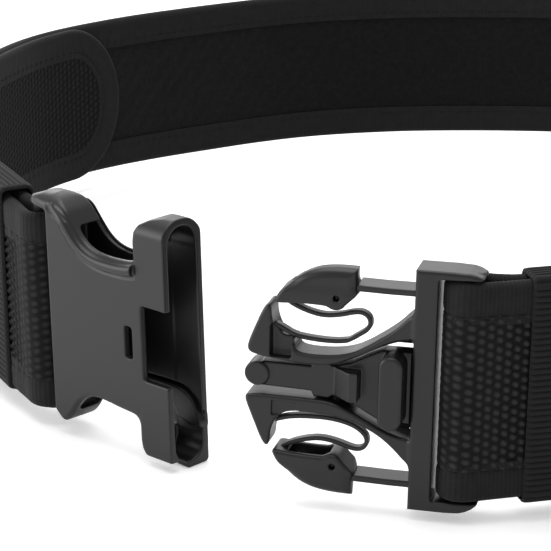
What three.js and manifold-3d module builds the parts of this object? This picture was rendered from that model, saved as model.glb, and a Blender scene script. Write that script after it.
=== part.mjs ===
// Webbing belt with a three-point side-release buckle, standing on its edge as an open ring.
// Units are millimetres, +Z up. The origin is the middle of the whole ring's box, on the surface
// the buckle stands on. The front of the ring is at -Y. The socket half of the buckle ends the
// left (-X) strap, the plug half ends the right (+X) strap.
// Each strap passes through the slot of its buckle half, turns round the bar and runs back along
// the inside of the belt as a tongue, held by an elastic keeper and by hook tape on the lining.
import * as THREE from "three";
import { mergeVertices } from "three/addons/utils/BufferGeometryUtils.js";
import Module from "manifold-3d";

const wasm = await Module();
wasm.setup();

// ---------------------------------------------------------------- driving dimensions
const CENTRE = { x: -0.843, y: -1.541 }; // middle of the ring's box in the plan it is drawn in
const MID = 30.2; // height of the belt's middle line above the resting surface
const BELT_H = 50; // belt width, edge to edge
const BELT_T = 4.2; // thickness of the belt over its bindings
const BIND_H = 9.4; // width of the edge binding on each face
const EDGE_TAPE = 0.7; // thickness of the binding tape over the belt's edges
const FACE_TAPE = 0.55; // thickness of the binding tape over the belt's faces
const SKIN = 1.0; // outer panel and loop lining thickness
const STIFFENER_MARGIN = 2; // from the panels' edges to the stiffener's
const GAP = 0.1; // gap between stacked layers
const FLEX_GAP = 1.6; // gap between belt sections at a bending line
const LOOP_END = 5; // from the bar to where its single layer meets the belt proper
const LOOP_GAP = 0.4; // gap between that layer and the belt proper

const TONGUE_T = 3.2; // thickness of the folded-back tongue
const BAR_GAP = 0.3; // room between a bar and the webbing round it
const PEEL_GAP = 0.8; // gap between a tongue and its peeling end
const TIP_L = 21; // length of the rounding at a tongue's end
const HOOK_T = 0.8; // thickness of the hook tape
const HOOK_INSET = 6; // from the ends of a peeling end to the ends of its hook tape
const HOOK_MARGIN = 7; // from the belt's edges to the hook tape's

const KEEPER_L = 38; // keeper length along the belt
const KEEPER_T = 1.0; // keeper elastic thickness
const KEEPER_GAP = 0.2; // room between a keeper and what it holds

const OVERSHOOT = 3; // how far the bindings' hollows are cut past their open sides

const HALF_T = BELT_T / 2;
const BOTTOM = MID - BELT_H / 2;
const TOP = MID + BELT_H / 2;
// Offsets of the layers inside the belt, from its middle line: outward is positive.
const TONGUE_OUTER = -(HALF_T + GAP);
const TONGUE_INNER = TONGUE_OUTER - TONGUE_T;
const TONGUE_MIDDLE = TONGUE_OUTER - TONGUE_T / 2;
const HOOK_INNER = TONGUE_OUTER - HOOK_T;

// Buckle halves: a reference point, the yaw of the half's length in degrees, the overall size,
// and the strap bar, placed along the half and outward from its middle plane.
const SOCKET = {
  // the reference point is the middle of the mouth, the yaw is the way the mouth faces
  x: -89.3, y: -137.9, z: 30, yaw: -41.9,
  height: 60, thickness: 12.3,
  bar: { along: -46.8, outward: 0, radius: 2.7, length: 53, segments: 16 },
};
const PLUG = {
  // the reference point is the middle of the frame's leading face, the yaw points away from it
  x: -38.4, y: -162.7, z: 29.9, yaw: -13.4,
  height: 54.9, thickness: 8.8,
  bar: { along: 12.1, outward: -1.4, radius: 2.2, length: 52, segments: 14 },
};

// ---------------------------------------------------------------- materials
const MATERIAL = {
  weave: new THREE.MeshStandardMaterial({ color: 0x151516, roughness: 0.85 }),
  binding: new THREE.MeshStandardMaterial({ color: 0x191a1a, roughness: 0.8 }),
  core: new THREE.MeshStandardMaterial({ color: 0x26282a, roughness: 0.6 }),
  loop: new THREE.MeshStandardMaterial({ color: 0x100e0f, roughness: 0.95 }),
  hook: new THREE.MeshStandardMaterial({ color: 0x0e0e0f, roughness: 0.9 }),
  elastic: new THREE.MeshStandardMaterial({ color: 0x1a1b1c, roughness: 0.75 }),
  plastic: new THREE.MeshStandardMaterial({ color: 0x2a2b2d, roughness: 0.38 }),
};

// ---------------------------------------------------------------- solids
const vec2 = (x, y) => new THREE.Vector2(x, y);

function solid(geometry) {
  const bare = geometry.index ? geometry.toNonIndexed() : geometry.clone();
  bare.deleteAttribute("normal");
  bare.deleteAttribute("uv");
  const merged = mergeVertices(bare, 1e-4);
  return new wasm.Manifold(
    new wasm.Mesh({
      numProp: 3,
      vertProperties: merged.attributes.position.array,
      triVerts: new Uint32Array(merged.index.array),
    }),
  );
}

function geometryOf(body) {
  const mesh = body.getMesh();
  const positions = new Float32Array(mesh.numVert * 3);
  for (let i = 0; i < mesh.numVert; i++) {
    const start = i * mesh.numProp;
    positions.set(mesh.vertProperties.subarray(start, start + 3), i * 3);
  }
  const geometry = new THREE.BufferGeometry()
    .setAttribute("position", new THREE.BufferAttribute(positions, 3))
    .setIndex(new THREE.BufferAttribute(new Uint32Array(mesh.triVerts), 1));
  geometry.computeVertexNormals();
  return geometry;
}

// A matrix that turns the x, y and z axes to three given directions.
const axesTo = (...directions) =>
  new THREE.Matrix4().makeBasis(...directions.map((d) => new THREE.Vector3(...d)));

const outline = (points) => new THREE.Shape(points.map(([x, y]) => vec2(x, y)));
const rectangle = (x0, x1, y0, y1) => [[x0, y0], [x1, y0], [x1, y1], [x0, y1]];
const mirrored = (points) => points.map(([x, y]) => [x, -y]).reverse();

const extrude = (points, depth) =>
  new THREE.ExtrudeGeometry(outline(points), { depth, bevelEnabled: false });

// A flat outline given thickness between two heights, as a geometry and as a solid.
const slab = (points, z0, z1) => extrude(points, z1 - z0).translate(0, 0, z0);
const solidSlab = (points, z0, z1) => solid(slab(points, z0, z1));

// The same with chamfered edges: the outline is the full size, the bevel is taken from inside it.
const bevelledSlab = (points, z0, z1, bevel) =>
  solid(
    new THREE.ExtrudeGeometry(outline(points), {
      depth: z1 - z0 - 2 * bevel,
      bevelEnabled: true,
      bevelThickness: bevel,
      bevelSize: bevel,
      bevelOffset: -bevel,
      bevelSegments: 1,
    }).translate(0, 0, z0 + bevel),
  );

// A side view in x and z, made solid to a half width on each side of y = 0.
const lengthwise = (profile, halfWidth) =>
  solid(
    slab(profile, -halfWidth, halfWidth).applyMatrix4(axesTo([1, 0, 0], [0, 0, 1], [0, -1, 0])),
  );

const box = ([x0, x1], [y0, y1], [z0, z1]) =>
  solid(
    new THREE.BoxGeometry(x1 - x0, y1 - y0, z1 - z0).translate(
      (x0 + x1) / 2,
      (y0 + y1) / 2,
      (z0 + z1) / 2,
    ),
  );

// A block along x whose cross section, given by its half sizes in y and z, has rounded corners.
function roundedBlock(x0, x1, halfY, halfZ, radius) {
  const STEPS = 5;
  const points = [];
  for (const [signY, signZ, start] of [[1, 1, 0], [-1, 1, 90], [-1, -1, 180], [1, -1, 270]]) {
    for (let i = 0; i <= STEPS; i++) {
      const angle = ((start + (90 * i) / STEPS) * Math.PI) / 180;
      points.push([
        signY * (halfY - radius) + radius * Math.cos(angle),
        signZ * (halfZ - radius) + radius * Math.sin(angle),
      ]);
    }
  }
  const block = extrude(points, x1 - x0).applyMatrix4(axesTo([0, 1, 0], [0, 0, 1], [1, 0, 0]));
  return solid(block.translate(x0, 0, 0));
}

const strapBar = ({ along, outward, radius, length, segments }) =>
  solid(
    new THREE.CylinderGeometry(radius, radius, length, segments).translate(along, 0, outward),
  );

const belt = new THREE.Group();
function add(name, geometry, material, parent = belt) {
  const mesh = new THREE.Mesh(geometry, material);
  mesh.name = name;
  parent.add(mesh);
}

// ---------------------------------------------------------------- ends of the straps
// A buckle half's length and its outward side, in the plan.
function planAxes({ yaw }) {
  const angle = (yaw * Math.PI) / 180;
  return {
    along: vec2(Math.cos(angle), Math.sin(angle)),
    outward: vec2(Math.sin(angle), -Math.cos(angle)),
  };
}

// One end of the belt. `direction` is the way the strap leaves its buckle half, `side` is 1 where
// that is the way distances along the belt grow and -1 where it is the opposite. `meet` is the
// distance from the bar at which the tongue lies flat, `keeperAt` that to the keeper.
function strapEnd({ buckle, direction, side, meet, keeperAt }) {
  const { along, outward } = planAxes(buckle);
  const barCentre = vec2(buckle.x, buckle.y)
    .addScaledVector(along, buckle.bar.along)
    .addScaledVector(outward, buckle.bar.outward);
  const strapOutward = vec2(-direction.y, direction.x).multiplyScalar(side);
  const radius = buckle.bar.radius + BAR_GAP + TONGUE_T / 2; // middle of the webbing round the bar
  const fromBar = (run, offset) =>
    barCentre.clone().addScaledVector(direction, run).addScaledVector(strapOutward, offset);
  const onBelt = (run, offset = 0) => fromBar(run, radius + offset);
  return { side, meet, keeperAt, radius, fromBar, onBelt };
}
const LEFT = strapEnd({
  buckle: SOCKET,
  direction: vec2(-0.435, 0.9).normalize(),
  side: 1,
  meet: 9.5,
  keeperAt: 11,
});
const RIGHT = strapEnd({
  buckle: PLUG,
  direction: vec2(0.963, 0.27).normalize(),
  side: -1,
  meet: 7.5,
  keeperAt: 10.7,
});

// ---------------------------------------------------------------- plan of the ring
// x, y of the belt's middle line from the left end round the back to the right end.
// Both ends are straight runs, given by their distances from the bars.
const RING = [
  ...[0, 25, 50, 74].map((run) => LEFT.onBelt(run).toArray()),
  [-167.2, -8], [-166.6, 22], [-161.2, 51.5], [-149.5, 84], [-129.5, 109.5],
  [-102.5, 132], [-69, 152.8], [-36, 162.6], [0, 165.2],
  [36, 162.4], [69, 152.8], [104.4, 131], [133, 105], [152.5, 75], [163, 42],
  [166, 8.7], [162.5, -24], [152.5, -56], [135.5, -87], [111.5, -113], [83.5, -133.5],
  ...[80, 52, 26, 0].map((run) => RIGHT.onBelt(run).toArray()),
];
const curve = new THREE.CatmullRomCurve3(
  RING.map(([x, y]) => new THREE.Vector3(x, y, 0)),
  false,
  "centripetal",
);
curve.arcLengthDivisions = 4000;
const LENGTH = curve.getLength();

function onCurve(distance) {
  const t = Math.min(1, Math.max(0, distance / LENGTH));
  const point = curve.getPointAt(t);
  const tangent = curve.getTangentAt(t);
  return { point: vec2(point.x, point.y), tangent: vec2(tangent.x, tangent.y).normalize() };
}

// Distance along the belt, to a search step, of its nearest point to a place in the plan.
function distanceNear(x, y) {
  const STEP = 0.5;
  const place = vec2(x, y);
  let best = 0;
  let least = Infinity;
  for (let distance = 0; distance <= LENGTH; distance += STEP) {
    const away = onCurve(distance).point.distanceTo(place);
    if (away < least) [best, least] = [distance, away];
  }
  return best;
}

// Every layer is faceted at the same stations, so stacked layers stay parallel.
const FACETS = Math.round(LENGTH / 10);
const PITCH = LENGTH / FACETS;
const MIN_STATION_GAP = 0.5; // least distance from a run's ends to a station between them
const STRAIGHT = 2e-3; // sine of the bend below which a run counts as straight

function bendsAt(i) {
  const [before, here, after] = [i - 1, i, i + 1].map((k) => onCurve(k * PITCH).point);
  const arriving = here.clone().sub(before);
  const leaving = after.clone().sub(here);
  return Math.abs(arriving.cross(leaving)) > STRAIGHT * arriving.length() * leaving.length();
}

// The two ends of a run, in increasing order, and the stations between them where the belt bends.
function stations(end0, end1) {
  const from = Math.min(end0, end1);
  const to = Math.max(end0, end1);
  const list = [from];
  const first = Math.ceil((from + MIN_STATION_GAP) / PITCH);
  for (let i = first; i * PITCH < to - MIN_STATION_GAP; i++) {
    if (bendsAt(i)) list.push(i * PITCH);
  }
  return [...list, to];
}

// The point at a distance along the belt and an offset from its middle line: outward is positive.
function beltPoint(distance, offset) {
  const facet = Math.min(Math.floor(distance / PITCH), FACETS - 1);
  const [start, end] = [facet, facet + 1].map((k) => {
    const { point, tangent } = onCurve(k * PITCH);
    return vec2(point.x - tangent.y * offset, point.y + tangent.x * offset);
  });
  return start.lerp(end, distance / PITCH - facet).toArray();
}

// Plan outline of a layer between two offsets from the belt's middle line.
const layer = (list, low, high) => [
  ...list.map((distance) => beltPoint(distance, low)),
  ...list.map((distance) => beltPoint(distance, high)).reverse(),
];

const LEFT_FLEX = distanceNear(-167, 6);
const RIGHT_FLEX = distanceNear(166, 8.7);

// ---------------------------------------------------------------- belt sections
// Layers from the outside in: woven outer panel, stiffener, loop lining, with tape bound over
// both edges.
function section(prefix, from, to) {
  const list = stations(from, to);
  const tapeInside = HALF_T - FACE_TAPE;
  const face = tapeInside - GAP;
  const core = face - SKIN - GAP;
  const low = BOTTOM + EDGE_TAPE + GAP;
  const high = TOP - EDGE_TAPE - GAP;
  add(`${prefix}_outer_panel`, slab(layer(list, face - SKIN, face), low, high), MATERIAL.weave);
  add(`${prefix}_loop_lining`, slab(layer(list, -face, SKIN - face), low, high), MATERIAL.loop);
  add(
    `${prefix}_stiffener`,
    slab(layer(list, -core, core), low + STIFFENER_MARGIN, high - STIFFENER_MARGIN),
    MATERIAL.core,
  );

  const longer = [from - OVERSHOOT, ...list, to + OVERSHOOT];
  const binding = (name, z0, z1, hollow0, hollow1) => {
    const whole = solidSlab(layer(list, -HALF_T, HALF_T), z0, z1);
    const hollow = solidSlab(layer(longer, -tapeInside, tapeInside), hollow0, hollow1);
    add(`${prefix}_${name}_binding`, geometryOf(whole.subtract(hollow)), MATERIAL.binding);
  };
  const upper = TOP - BIND_H;
  const lower = BOTTOM + BIND_H;
  binding("top", upper, TOP, upper - OVERSHOOT, TOP - EDGE_TAPE);
  binding("bottom", BOTTOM, lower, BOTTOM + EDGE_TAPE, lower + OVERSHOOT);
}
section("left", LOOP_END + LOOP_GAP, LEFT_FLEX - FLEX_GAP / 2);
section("rear", LEFT_FLEX + FLEX_GAP / 2, RIGHT_FLEX - FLEX_GAP / 2);
section("right", RIGHT_FLEX + FLEX_GAP / 2, LENGTH - LOOP_END - LOOP_GAP);

// ---------------------------------------------------------------- tongues
const LEFT_PEEL = distanceNear(-158, 62); // where each tongue's end can peel off the lining
const RIGHT_PEEL = LENGTH - 112;
const LEFT_TIP = distanceNear(-133, 106) + 7;
const RIGHT_TIP = LENGTH - 205;
const FOLLOW = 10; // from where a tongue lies flat to where it takes up the belt's stations

// Points beside a line in the plan, to its left for a positive offset.
const offsetLine = (line, offset) =>
  line.map((point, i) => {
    const before = line[Math.max(0, i - 1)];
    const after = line[Math.min(line.length - 1, i + 1)];
    const along = after.clone().sub(before).normalize();
    return [point.x - along.y * offset, point.y + along.x * offset];
  });

// Middle line of the webbing, from the front layer round the bar to where the tongue lies flat.
function turnLine({ radius, meet, fromBar }) {
  const STEPS = 14;
  const EASE_RUN = 3; // distance before the meeting point at which the slope eases off
  const EASE_SLOPE = 0.75; // share of the slope kept over that distance
  const flat = radius + TONGUE_MIDDLE;
  const lean = Math.atan2(flat, meet) + Math.asin(radius / Math.hypot(meet, flat));
  const points = [[LOOP_END, radius]];
  for (let i = 0; i <= STEPS; i++) {
    const angle = Math.PI / 2 + ((Math.PI + lean) * i) / STEPS;
    points.push([radius * Math.cos(angle), radius * Math.sin(angle)]);
  }
  points.push([meet - EASE_RUN, flat - EASE_RUN * Math.tan(lean) * EASE_SLOPE]);
  points.push([meet + 1, flat]);
  return points.map(([run, offset]) => fromBar(run, offset));
}

// The turn round the bar, carried on along the inside of the belt through a list of distances
// that leads away from the buckle.
function wrappedTongue(end, list) {
  const turn = turnLine(end);
  const face = (offset) => [
    ...offsetLine(turn, offset),
    ...list.map((distance) => beltPoint(distance, TONGUE_MIDDLE + end.side * offset)),
  ];
  return slab([...face(-TONGUE_T / 2), ...face(TONGUE_T / 2).reverse()], BOTTOM, TOP);
}

add(
  "left_tongue",
  wrappedTongue(LEFT, stations(LEFT.meet + FOLLOW, LEFT_FLEX - FLEX_GAP / 2)),
  MATERIAL.weave,
);
const leftRear = stations(LEFT_FLEX + FLEX_GAP / 2, LEFT_PEEL - PEEL_GAP / 2);
add(
  "left_tongue_rear",
  slab(layer(leftRear, TONGUE_INNER, TONGUE_OUTER), BOTTOM, TOP),
  MATERIAL.weave,
);
add(
  "right_tongue",
  wrappedTongue(
    RIGHT,
    stations(RIGHT_PEEL + PEEL_GAP / 2, LENGTH - RIGHT.meet - FOLLOW).reverse(),
  ),
  MATERIAL.weave,
);

// Removes all beyond a half ellipse at a tongue's tip. `away` is 1 or -1, the way the tip points.
function tipCutter(tip, away, inset) {
  const STEPS = 10;
  const PAST_TIP = 12;
  const DEPTH = 20; // reach to each side of the belt's middle line
  const start = -TIP_L - 0.01; // just short of the rounding, for a clean cut
  const halfHeight = BELT_H / 2 - inset;
  const points = [
    [start, -BELT_H], [PAST_TIP, -BELT_H], [PAST_TIP, BELT_H], [start, BELT_H],
    [start, halfHeight],
  ];
  for (let i = 0; i <= STEPS; i++) {
    const angle = Math.PI / 2 - (Math.PI * i) / STEPS;
    points.push([
      -TIP_L + (TIP_L - inset) * Math.cos(angle),
      halfHeight * Math.sin(angle),
    ]);
  }
  points.push([start, -halfHeight]);
  const { point, tangent } = onCurve(tip);
  const x = tangent.x * away;
  const y = tangent.y * away;
  const placement = axesTo([x, y, 0], [0, 0, 1], [y, -x, 0]).setPosition(point.x, point.y, MID);
  return solid(slab(points, -DEPTH, DEPTH).applyMatrix4(placement));
}

// A peeling end of a tongue, with hook tape filling the space between it and the lining.
function tongueEnd(prefix, from, tip) {
  const away = Math.sign(tip - from);
  const body = layer(stations(from, tip), TONGUE_INNER, HOOK_INNER - GAP);
  const hook = layer(stations(from + away * HOOK_INSET, tip), HOOK_INNER, TONGUE_OUTER);
  const cut = (points, inset, margin) =>
    geometryOf(
      solidSlab(points, BOTTOM + margin, TOP - margin).subtract(tipCutter(tip, away, inset)),
    );
  add(`${prefix}_tongue_end`, cut(body, 0, 0), MATERIAL.weave);
  add(`${prefix}_hook_tape`, cut(hook, HOOK_INSET, HOOK_MARGIN), MATERIAL.hook);
}
tongueEnd("left", LEFT_PEEL + PEEL_GAP / 2, LEFT_TIP);
tongueEnd("right", RIGHT_PEEL - PEEL_GAP / 2, RIGHT_TIP);

// ---------------------------------------------------------------- keepers
// An elastic band round the belt and the tongue, on the straight run behind a buckle half.
function keeper(name, { onBelt, keeperAt }) {
  // `grow` is the room left round the belt and tongue, `extra` the added length at each end
  const block = (grow, extra) => {
    const plan = rectangle(
      keeperAt - extra,
      keeperAt + KEEPER_L + extra,
      TONGUE_INNER - grow,
      HALF_T + grow,
    ).map(([run, offset]) => onBelt(run, offset).toArray());
    return solidSlab(plan, BOTTOM - grow, TOP + grow);
  };
  const band = block(KEEPER_GAP + KEEPER_T, 0).subtract(block(KEEPER_GAP, 2));
  add(name, geometryOf(band), MATERIAL.elastic);
}
keeper("left_keeper", LEFT);
keeper("right_keeper", RIGHT);

// ---------------------------------------------------------------- buckle halves
// Each half is drawn flat: x along the belt, y across it (world up), z through its thickness,
// outward positive. Outlines are x, y points; side views are x, z points.
const THROUGH = [-10, 10]; // z range of a cut right through either half

function buckleGroup(half) {
  const { along, outward } = planAxes(half);
  const group = new THREE.Group();
  group.matrixAutoUpdate = false;
  group.matrix
    .copy(axesTo([along.x, along.y, 0], [0, 0, 1], [outward.x, outward.y, 0]))
    .setPosition(half.x, half.y, half.z);
  belt.add(group);
  return group;
}

// Socket: a flat moulded shell, open at the mouth and at the two thumb scoops, with the strap bar
// at its back.
function socketHousing() {
  const WALL = 1.75; // outward and inward walls at the mouth
  const SIDE_WALL = 1.8;
  const H = SOCKET.height / 2;
  const T = SOCKET.thickness / 2;
  const cavityT = T - WALL;
  // upper half of the silhouette, from the mouth to the back
  const upper = [
    [0, H], [-3.5, H - 0.2], [-6.5, H - 0.9], [-8.6, H - 2.1], [-9.9, H - 3.9], [-10.3, H - 6],
    [-10.3, 19.4], [-11.6, 17.8], [-22.2, 17.4], [-26, 18.5], [-28.8, 20.8], [-31, 24],
    [-33, 26.6], [-35.8, 28.3], [-39.2, 29], [-43, 29], [-46.6, 27.9], [-49.4, 25.4],
  ];
  // side view: the back thins towards the strap
  const profile = [
    [5, -T], [5, T], [-41.6, T], [-45.2, 5.2], [-48, 3.9], [-50.5, 2.6],
    [-50.5, -3.4], [-46, -4.2], [-28, -4.3], [-12, -T],
  ];
  const cavityProfile = [
    [2, -cavityT], [2, cavityT], [-34.5, cavityT], [-34.5, -2.6], [-28, -2.6], [-12, -cavityT],
  ];
  const shell = solidSlab([...mirrored(upper), ...upper], -T, T)
    .intersect(roundedBlock(-55, 5, H, T, 5.6))
    .intersect(lengthwise(profile, 40));
  return shell
    .subtract(roundedBlock(-8.4, 12, H - SIDE_WALL, cavityT, 4.1)) // mouth
    .subtract(lengthwise(cavityProfile, 23.2))
    .subtract(box([-60, -39], [-25.9, 26.1], THROUGH)) // strap slot and the space round the bar
    .subtract(box([-13.7, -11.3], [-4.6, 3.0], [2, 10])) // latch window
    .subtract(box([-8, 2], [-9, 9], [2, 10])) // notch for the latch pad
    .add(strapBar(SOCKET.bar));
}

// Plug frame: the strap bar in its frame, and two barbed guide arms.
function plugFrame() {
  const H = PLUG.height / 2;
  const T = PLUG.thickness / 2;
  const ARM_T = 3.6; // half thickness
  const lower = [[0, -H], [10.8, -H], [13.4, -H + 0.7], [15.4, -H + 2.1], [16.6, -H + 4.2]];
  // outer edge from the root to the barb, then back along the inner edge
  const arm = [
    [1, 18.6], [-1.2, 16.2], [-4, 13.2], [-7, 11.0], [-10.5, 9.3], [-14, 8.2], [-19, 7.7],
    [-25.5, 7.6], [-29.3, 8.6], [-31.2, 12.2], [-31.5, 15.9], [-32.2, 16.4], [-33.2, 15.2],
    [-35.0, 11.0], [-36.9, 6.4], [-37.0, 5.2], [-36.2, 4.6],
    [-22.5, 4.4], [-18, 4.5], [-14, 5.9], [-10, 8.0], [-6.6, 9.6], [-3, 10.9], [1, 11.6],
  ];
  let frame = bevelledSlab([...lower, ...mirrored(lower)], -T, T, 0.7)
    .subtract(box([5.5, 30], [-25.0, 25.6], THROUGH)) // strap slot, open at the back
    .add(strapBar(PLUG.bar));
  for (const points of [arm, mirrored(arm)]) {
    frame = frame.add(bevelledSlab(points, -ARM_T, ARM_T, 0.4));
  }
  // webs on the inward side of the arms' roots
  for (const y of [8.5, -12.5]) frame = frame.add(box([-6, 0.6], [y, y + 4], [-4.3, -3.2]));
  return frame;
}

// A release button, a channel-shaped paddle open towards the middle of the buckle, with its leaf
// and hairpin springs. The outlines are the upper ones; `flip` takes them to their own side.
function releaseButton(label, flip, parent) {
  const button = [
    [-12.2, 20.9], [-12.2, 26.3], [-19, 26.1], [-22.3, 25.6], [-25.6, 24.2], [-28.4, 21.4],
    [-30.6, 17.8], [-30.2, 16.9], [-25.6, 17.4], [-20.2, 17.4], [-18.8, 16.7], [-17, 16.7],
    [-14.6, 18.4],
  ];
  const channel = rectangle(-27.4, -17.6, 0, 22.6);
  const leaf = rectangle(-11.9, -0.3, 21.2, 22.6);
  const HAIRPIN_WIDTH = 1.2;
  const hairpinLine = [
    [-28.9, 10.5], [-27, 9.9], [-24, 9.5], [-20, 9.3], [-16.5, 9.5], [-13.2, 10.3],
    [-10.9, 11.7], [-9.9, 13.3], [-10.3, 14.9], [-11.6, 15.8], [-13.4, 15.8], [-16.8, 14.7],
    [-20.5, 14.2], [-24, 14.9], [-27.2, 16.1],
  ].map(([x, y]) => vec2(x, y));
  const hairpin = [
    ...offsetLine(hairpinLine, -HAIRPIN_WIDTH / 2),
    ...offsetLine(hairpinLine, HAIRPIN_WIDTH / 2).reverse(),
  ];
  const paddle = bevelledSlab(flip(button), -4.2, 4.2, 0.6).subtract(
    solidSlab(flip(channel), -2.7, 2.7),
  );
  add(`${label}_release_button`, geometryOf(paddle), MATERIAL.plastic, parent);
  add(`${label}_leaf_spring`, slab(flip(leaf), -3.2, 3.2), MATERIAL.plastic, parent);
  add(`${label}_hairpin_spring`, slab(flip(hairpin), -1.3, 1.3), MATERIAL.plastic, parent);
}

// Round-ended pad outline, long across the belt.
function padOutline() {
  const STEPS = 8;
  const RADIUS = 2.1;
  const X = -3.9;
  const Y = 6.1; // centres of the round ends, either side of the middle
  return [1, -1].flatMap((side) =>
    Array.from({ length: STEPS + 1 }, (_, i) => {
      const angle = (Math.PI * i) / STEPS;
      return [X + side * RADIUS * Math.cos(angle), side * (Y + RADIUS * Math.sin(angle))];
    }),
  );
}

// Centre latch: a plate with its pad and hook at the wide end and a round narrow end.
function centreLatch() {
  const upper = [
    [-22.5, 2.9], [-21.9, 4.0], [-18.6, 4.1], [-17.6, 3.4],
    [-13.6, 4.6], [-9.6, 6.8], [-6.8, 8.2], [-0.7, 8.2],
  ];
  const plate = [...upper, ...mirrored(upper), [-31.9, -2.8], [-31.9, 2.8]];
  const roundEnd = new THREE.CylinderGeometry(3.1, 3.1, 6, 18)
    .rotateX(Math.PI / 2)
    .translate(-34.4, 0, 0);
  // side view: a ramp that rises towards the pad and drops to a locking face
  const hook = [[-17.6, 2.2], [-11.5, 2.2], [-11.5, 5.8], [-13.4, 5.8]];
  return solidSlab(plate, -1.9, 2.4)
    .add(solid(roundEnd))
    .add(bevelledSlab(padOutline(), 0, 7.3, 0.5))
    .add(lengthwise(hook, 3.3));
}

const socket = buckleGroup(SOCKET);
add("socket_housing", geometryOf(socketHousing()), MATERIAL.plastic, socket);

const plug = buckleGroup(PLUG);
add("plug_frame", geometryOf(plugFrame()), MATERIAL.plastic, plug);
releaseButton("upper", (points) => points, plug);
releaseButton("lower", mirrored, plug);
add("centre_latch", geometryOf(centreLatch()), MATERIAL.plastic, plug);

belt.position.set(-CENTRE.x, -CENTRE.y, 0);

export default belt;
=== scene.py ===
# A waist belt, buckled and standing on edge as a ring round the Z axis, +Z up. The buckle is at the
# front (-Y): the socket on the left (-X), the plug to its right. Each side is one strap that runs
# from the middle of the rear to the buckle, turns round a bar there and comes back inside the belt
# as a tongue with a peeling end.
# Sizes are millimetres in the belt's plan, turned into metres when a mesh is made.
import functools
import itertools
import math
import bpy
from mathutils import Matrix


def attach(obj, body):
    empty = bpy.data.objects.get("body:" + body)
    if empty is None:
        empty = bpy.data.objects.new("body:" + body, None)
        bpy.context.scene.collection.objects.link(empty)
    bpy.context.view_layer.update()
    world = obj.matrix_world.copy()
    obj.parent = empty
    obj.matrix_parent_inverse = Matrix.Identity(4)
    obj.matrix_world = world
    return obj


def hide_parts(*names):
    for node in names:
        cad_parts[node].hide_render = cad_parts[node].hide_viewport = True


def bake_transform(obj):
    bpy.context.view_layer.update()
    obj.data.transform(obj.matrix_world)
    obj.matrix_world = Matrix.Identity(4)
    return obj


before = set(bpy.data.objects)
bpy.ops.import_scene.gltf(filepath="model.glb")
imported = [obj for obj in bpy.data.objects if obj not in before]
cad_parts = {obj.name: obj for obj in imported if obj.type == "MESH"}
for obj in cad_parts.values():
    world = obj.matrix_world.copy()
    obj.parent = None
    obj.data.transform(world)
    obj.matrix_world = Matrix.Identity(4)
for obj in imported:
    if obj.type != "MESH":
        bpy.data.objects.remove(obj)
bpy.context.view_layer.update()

from types import SimpleNamespace

import bpy
import numpy as np
from mathutils import Vector

# ---------------------------------------------------------------- driving dimensions
PLAN_X, PLAN_Y = 0.843, 1.541         # the plan's origin in the frame
MID, WIDTH = 30.2, 50.0               # height of the belt's middle line, and the belt's width
BOTTOM, TOP = MID - WIDTH / 2, MID + WIDTH / 2
BELT_HALF, TONGUE_HALF = 2.1, 1.6     # half thicknesses
TONGUE_OUT = -(BELT_HALF + 0.1 + TONGUE_HALF)   # the tongue's middle, from the belt's
TAPE_WIDTH, TAPE_THICK = 9.3, 0.65    # edge tape, folded over the edge
WEAVE_INSET = 6.6                     # edge of the belt to the edge of its weave and lining
STITCH_INSET, STITCH_PITCH = 7.35, 3.1
TIP_RADIUS = 21.0                     # length of the tongue's rounded end
LOOP_END = 5.0                        # the belt stops this far from its end, at the bar
REAR_MID = 380.0                      # where the left and right straps start
LENGTH = 922.8760375211557            # the belt's middle line, from socket bar to plug bar

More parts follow.
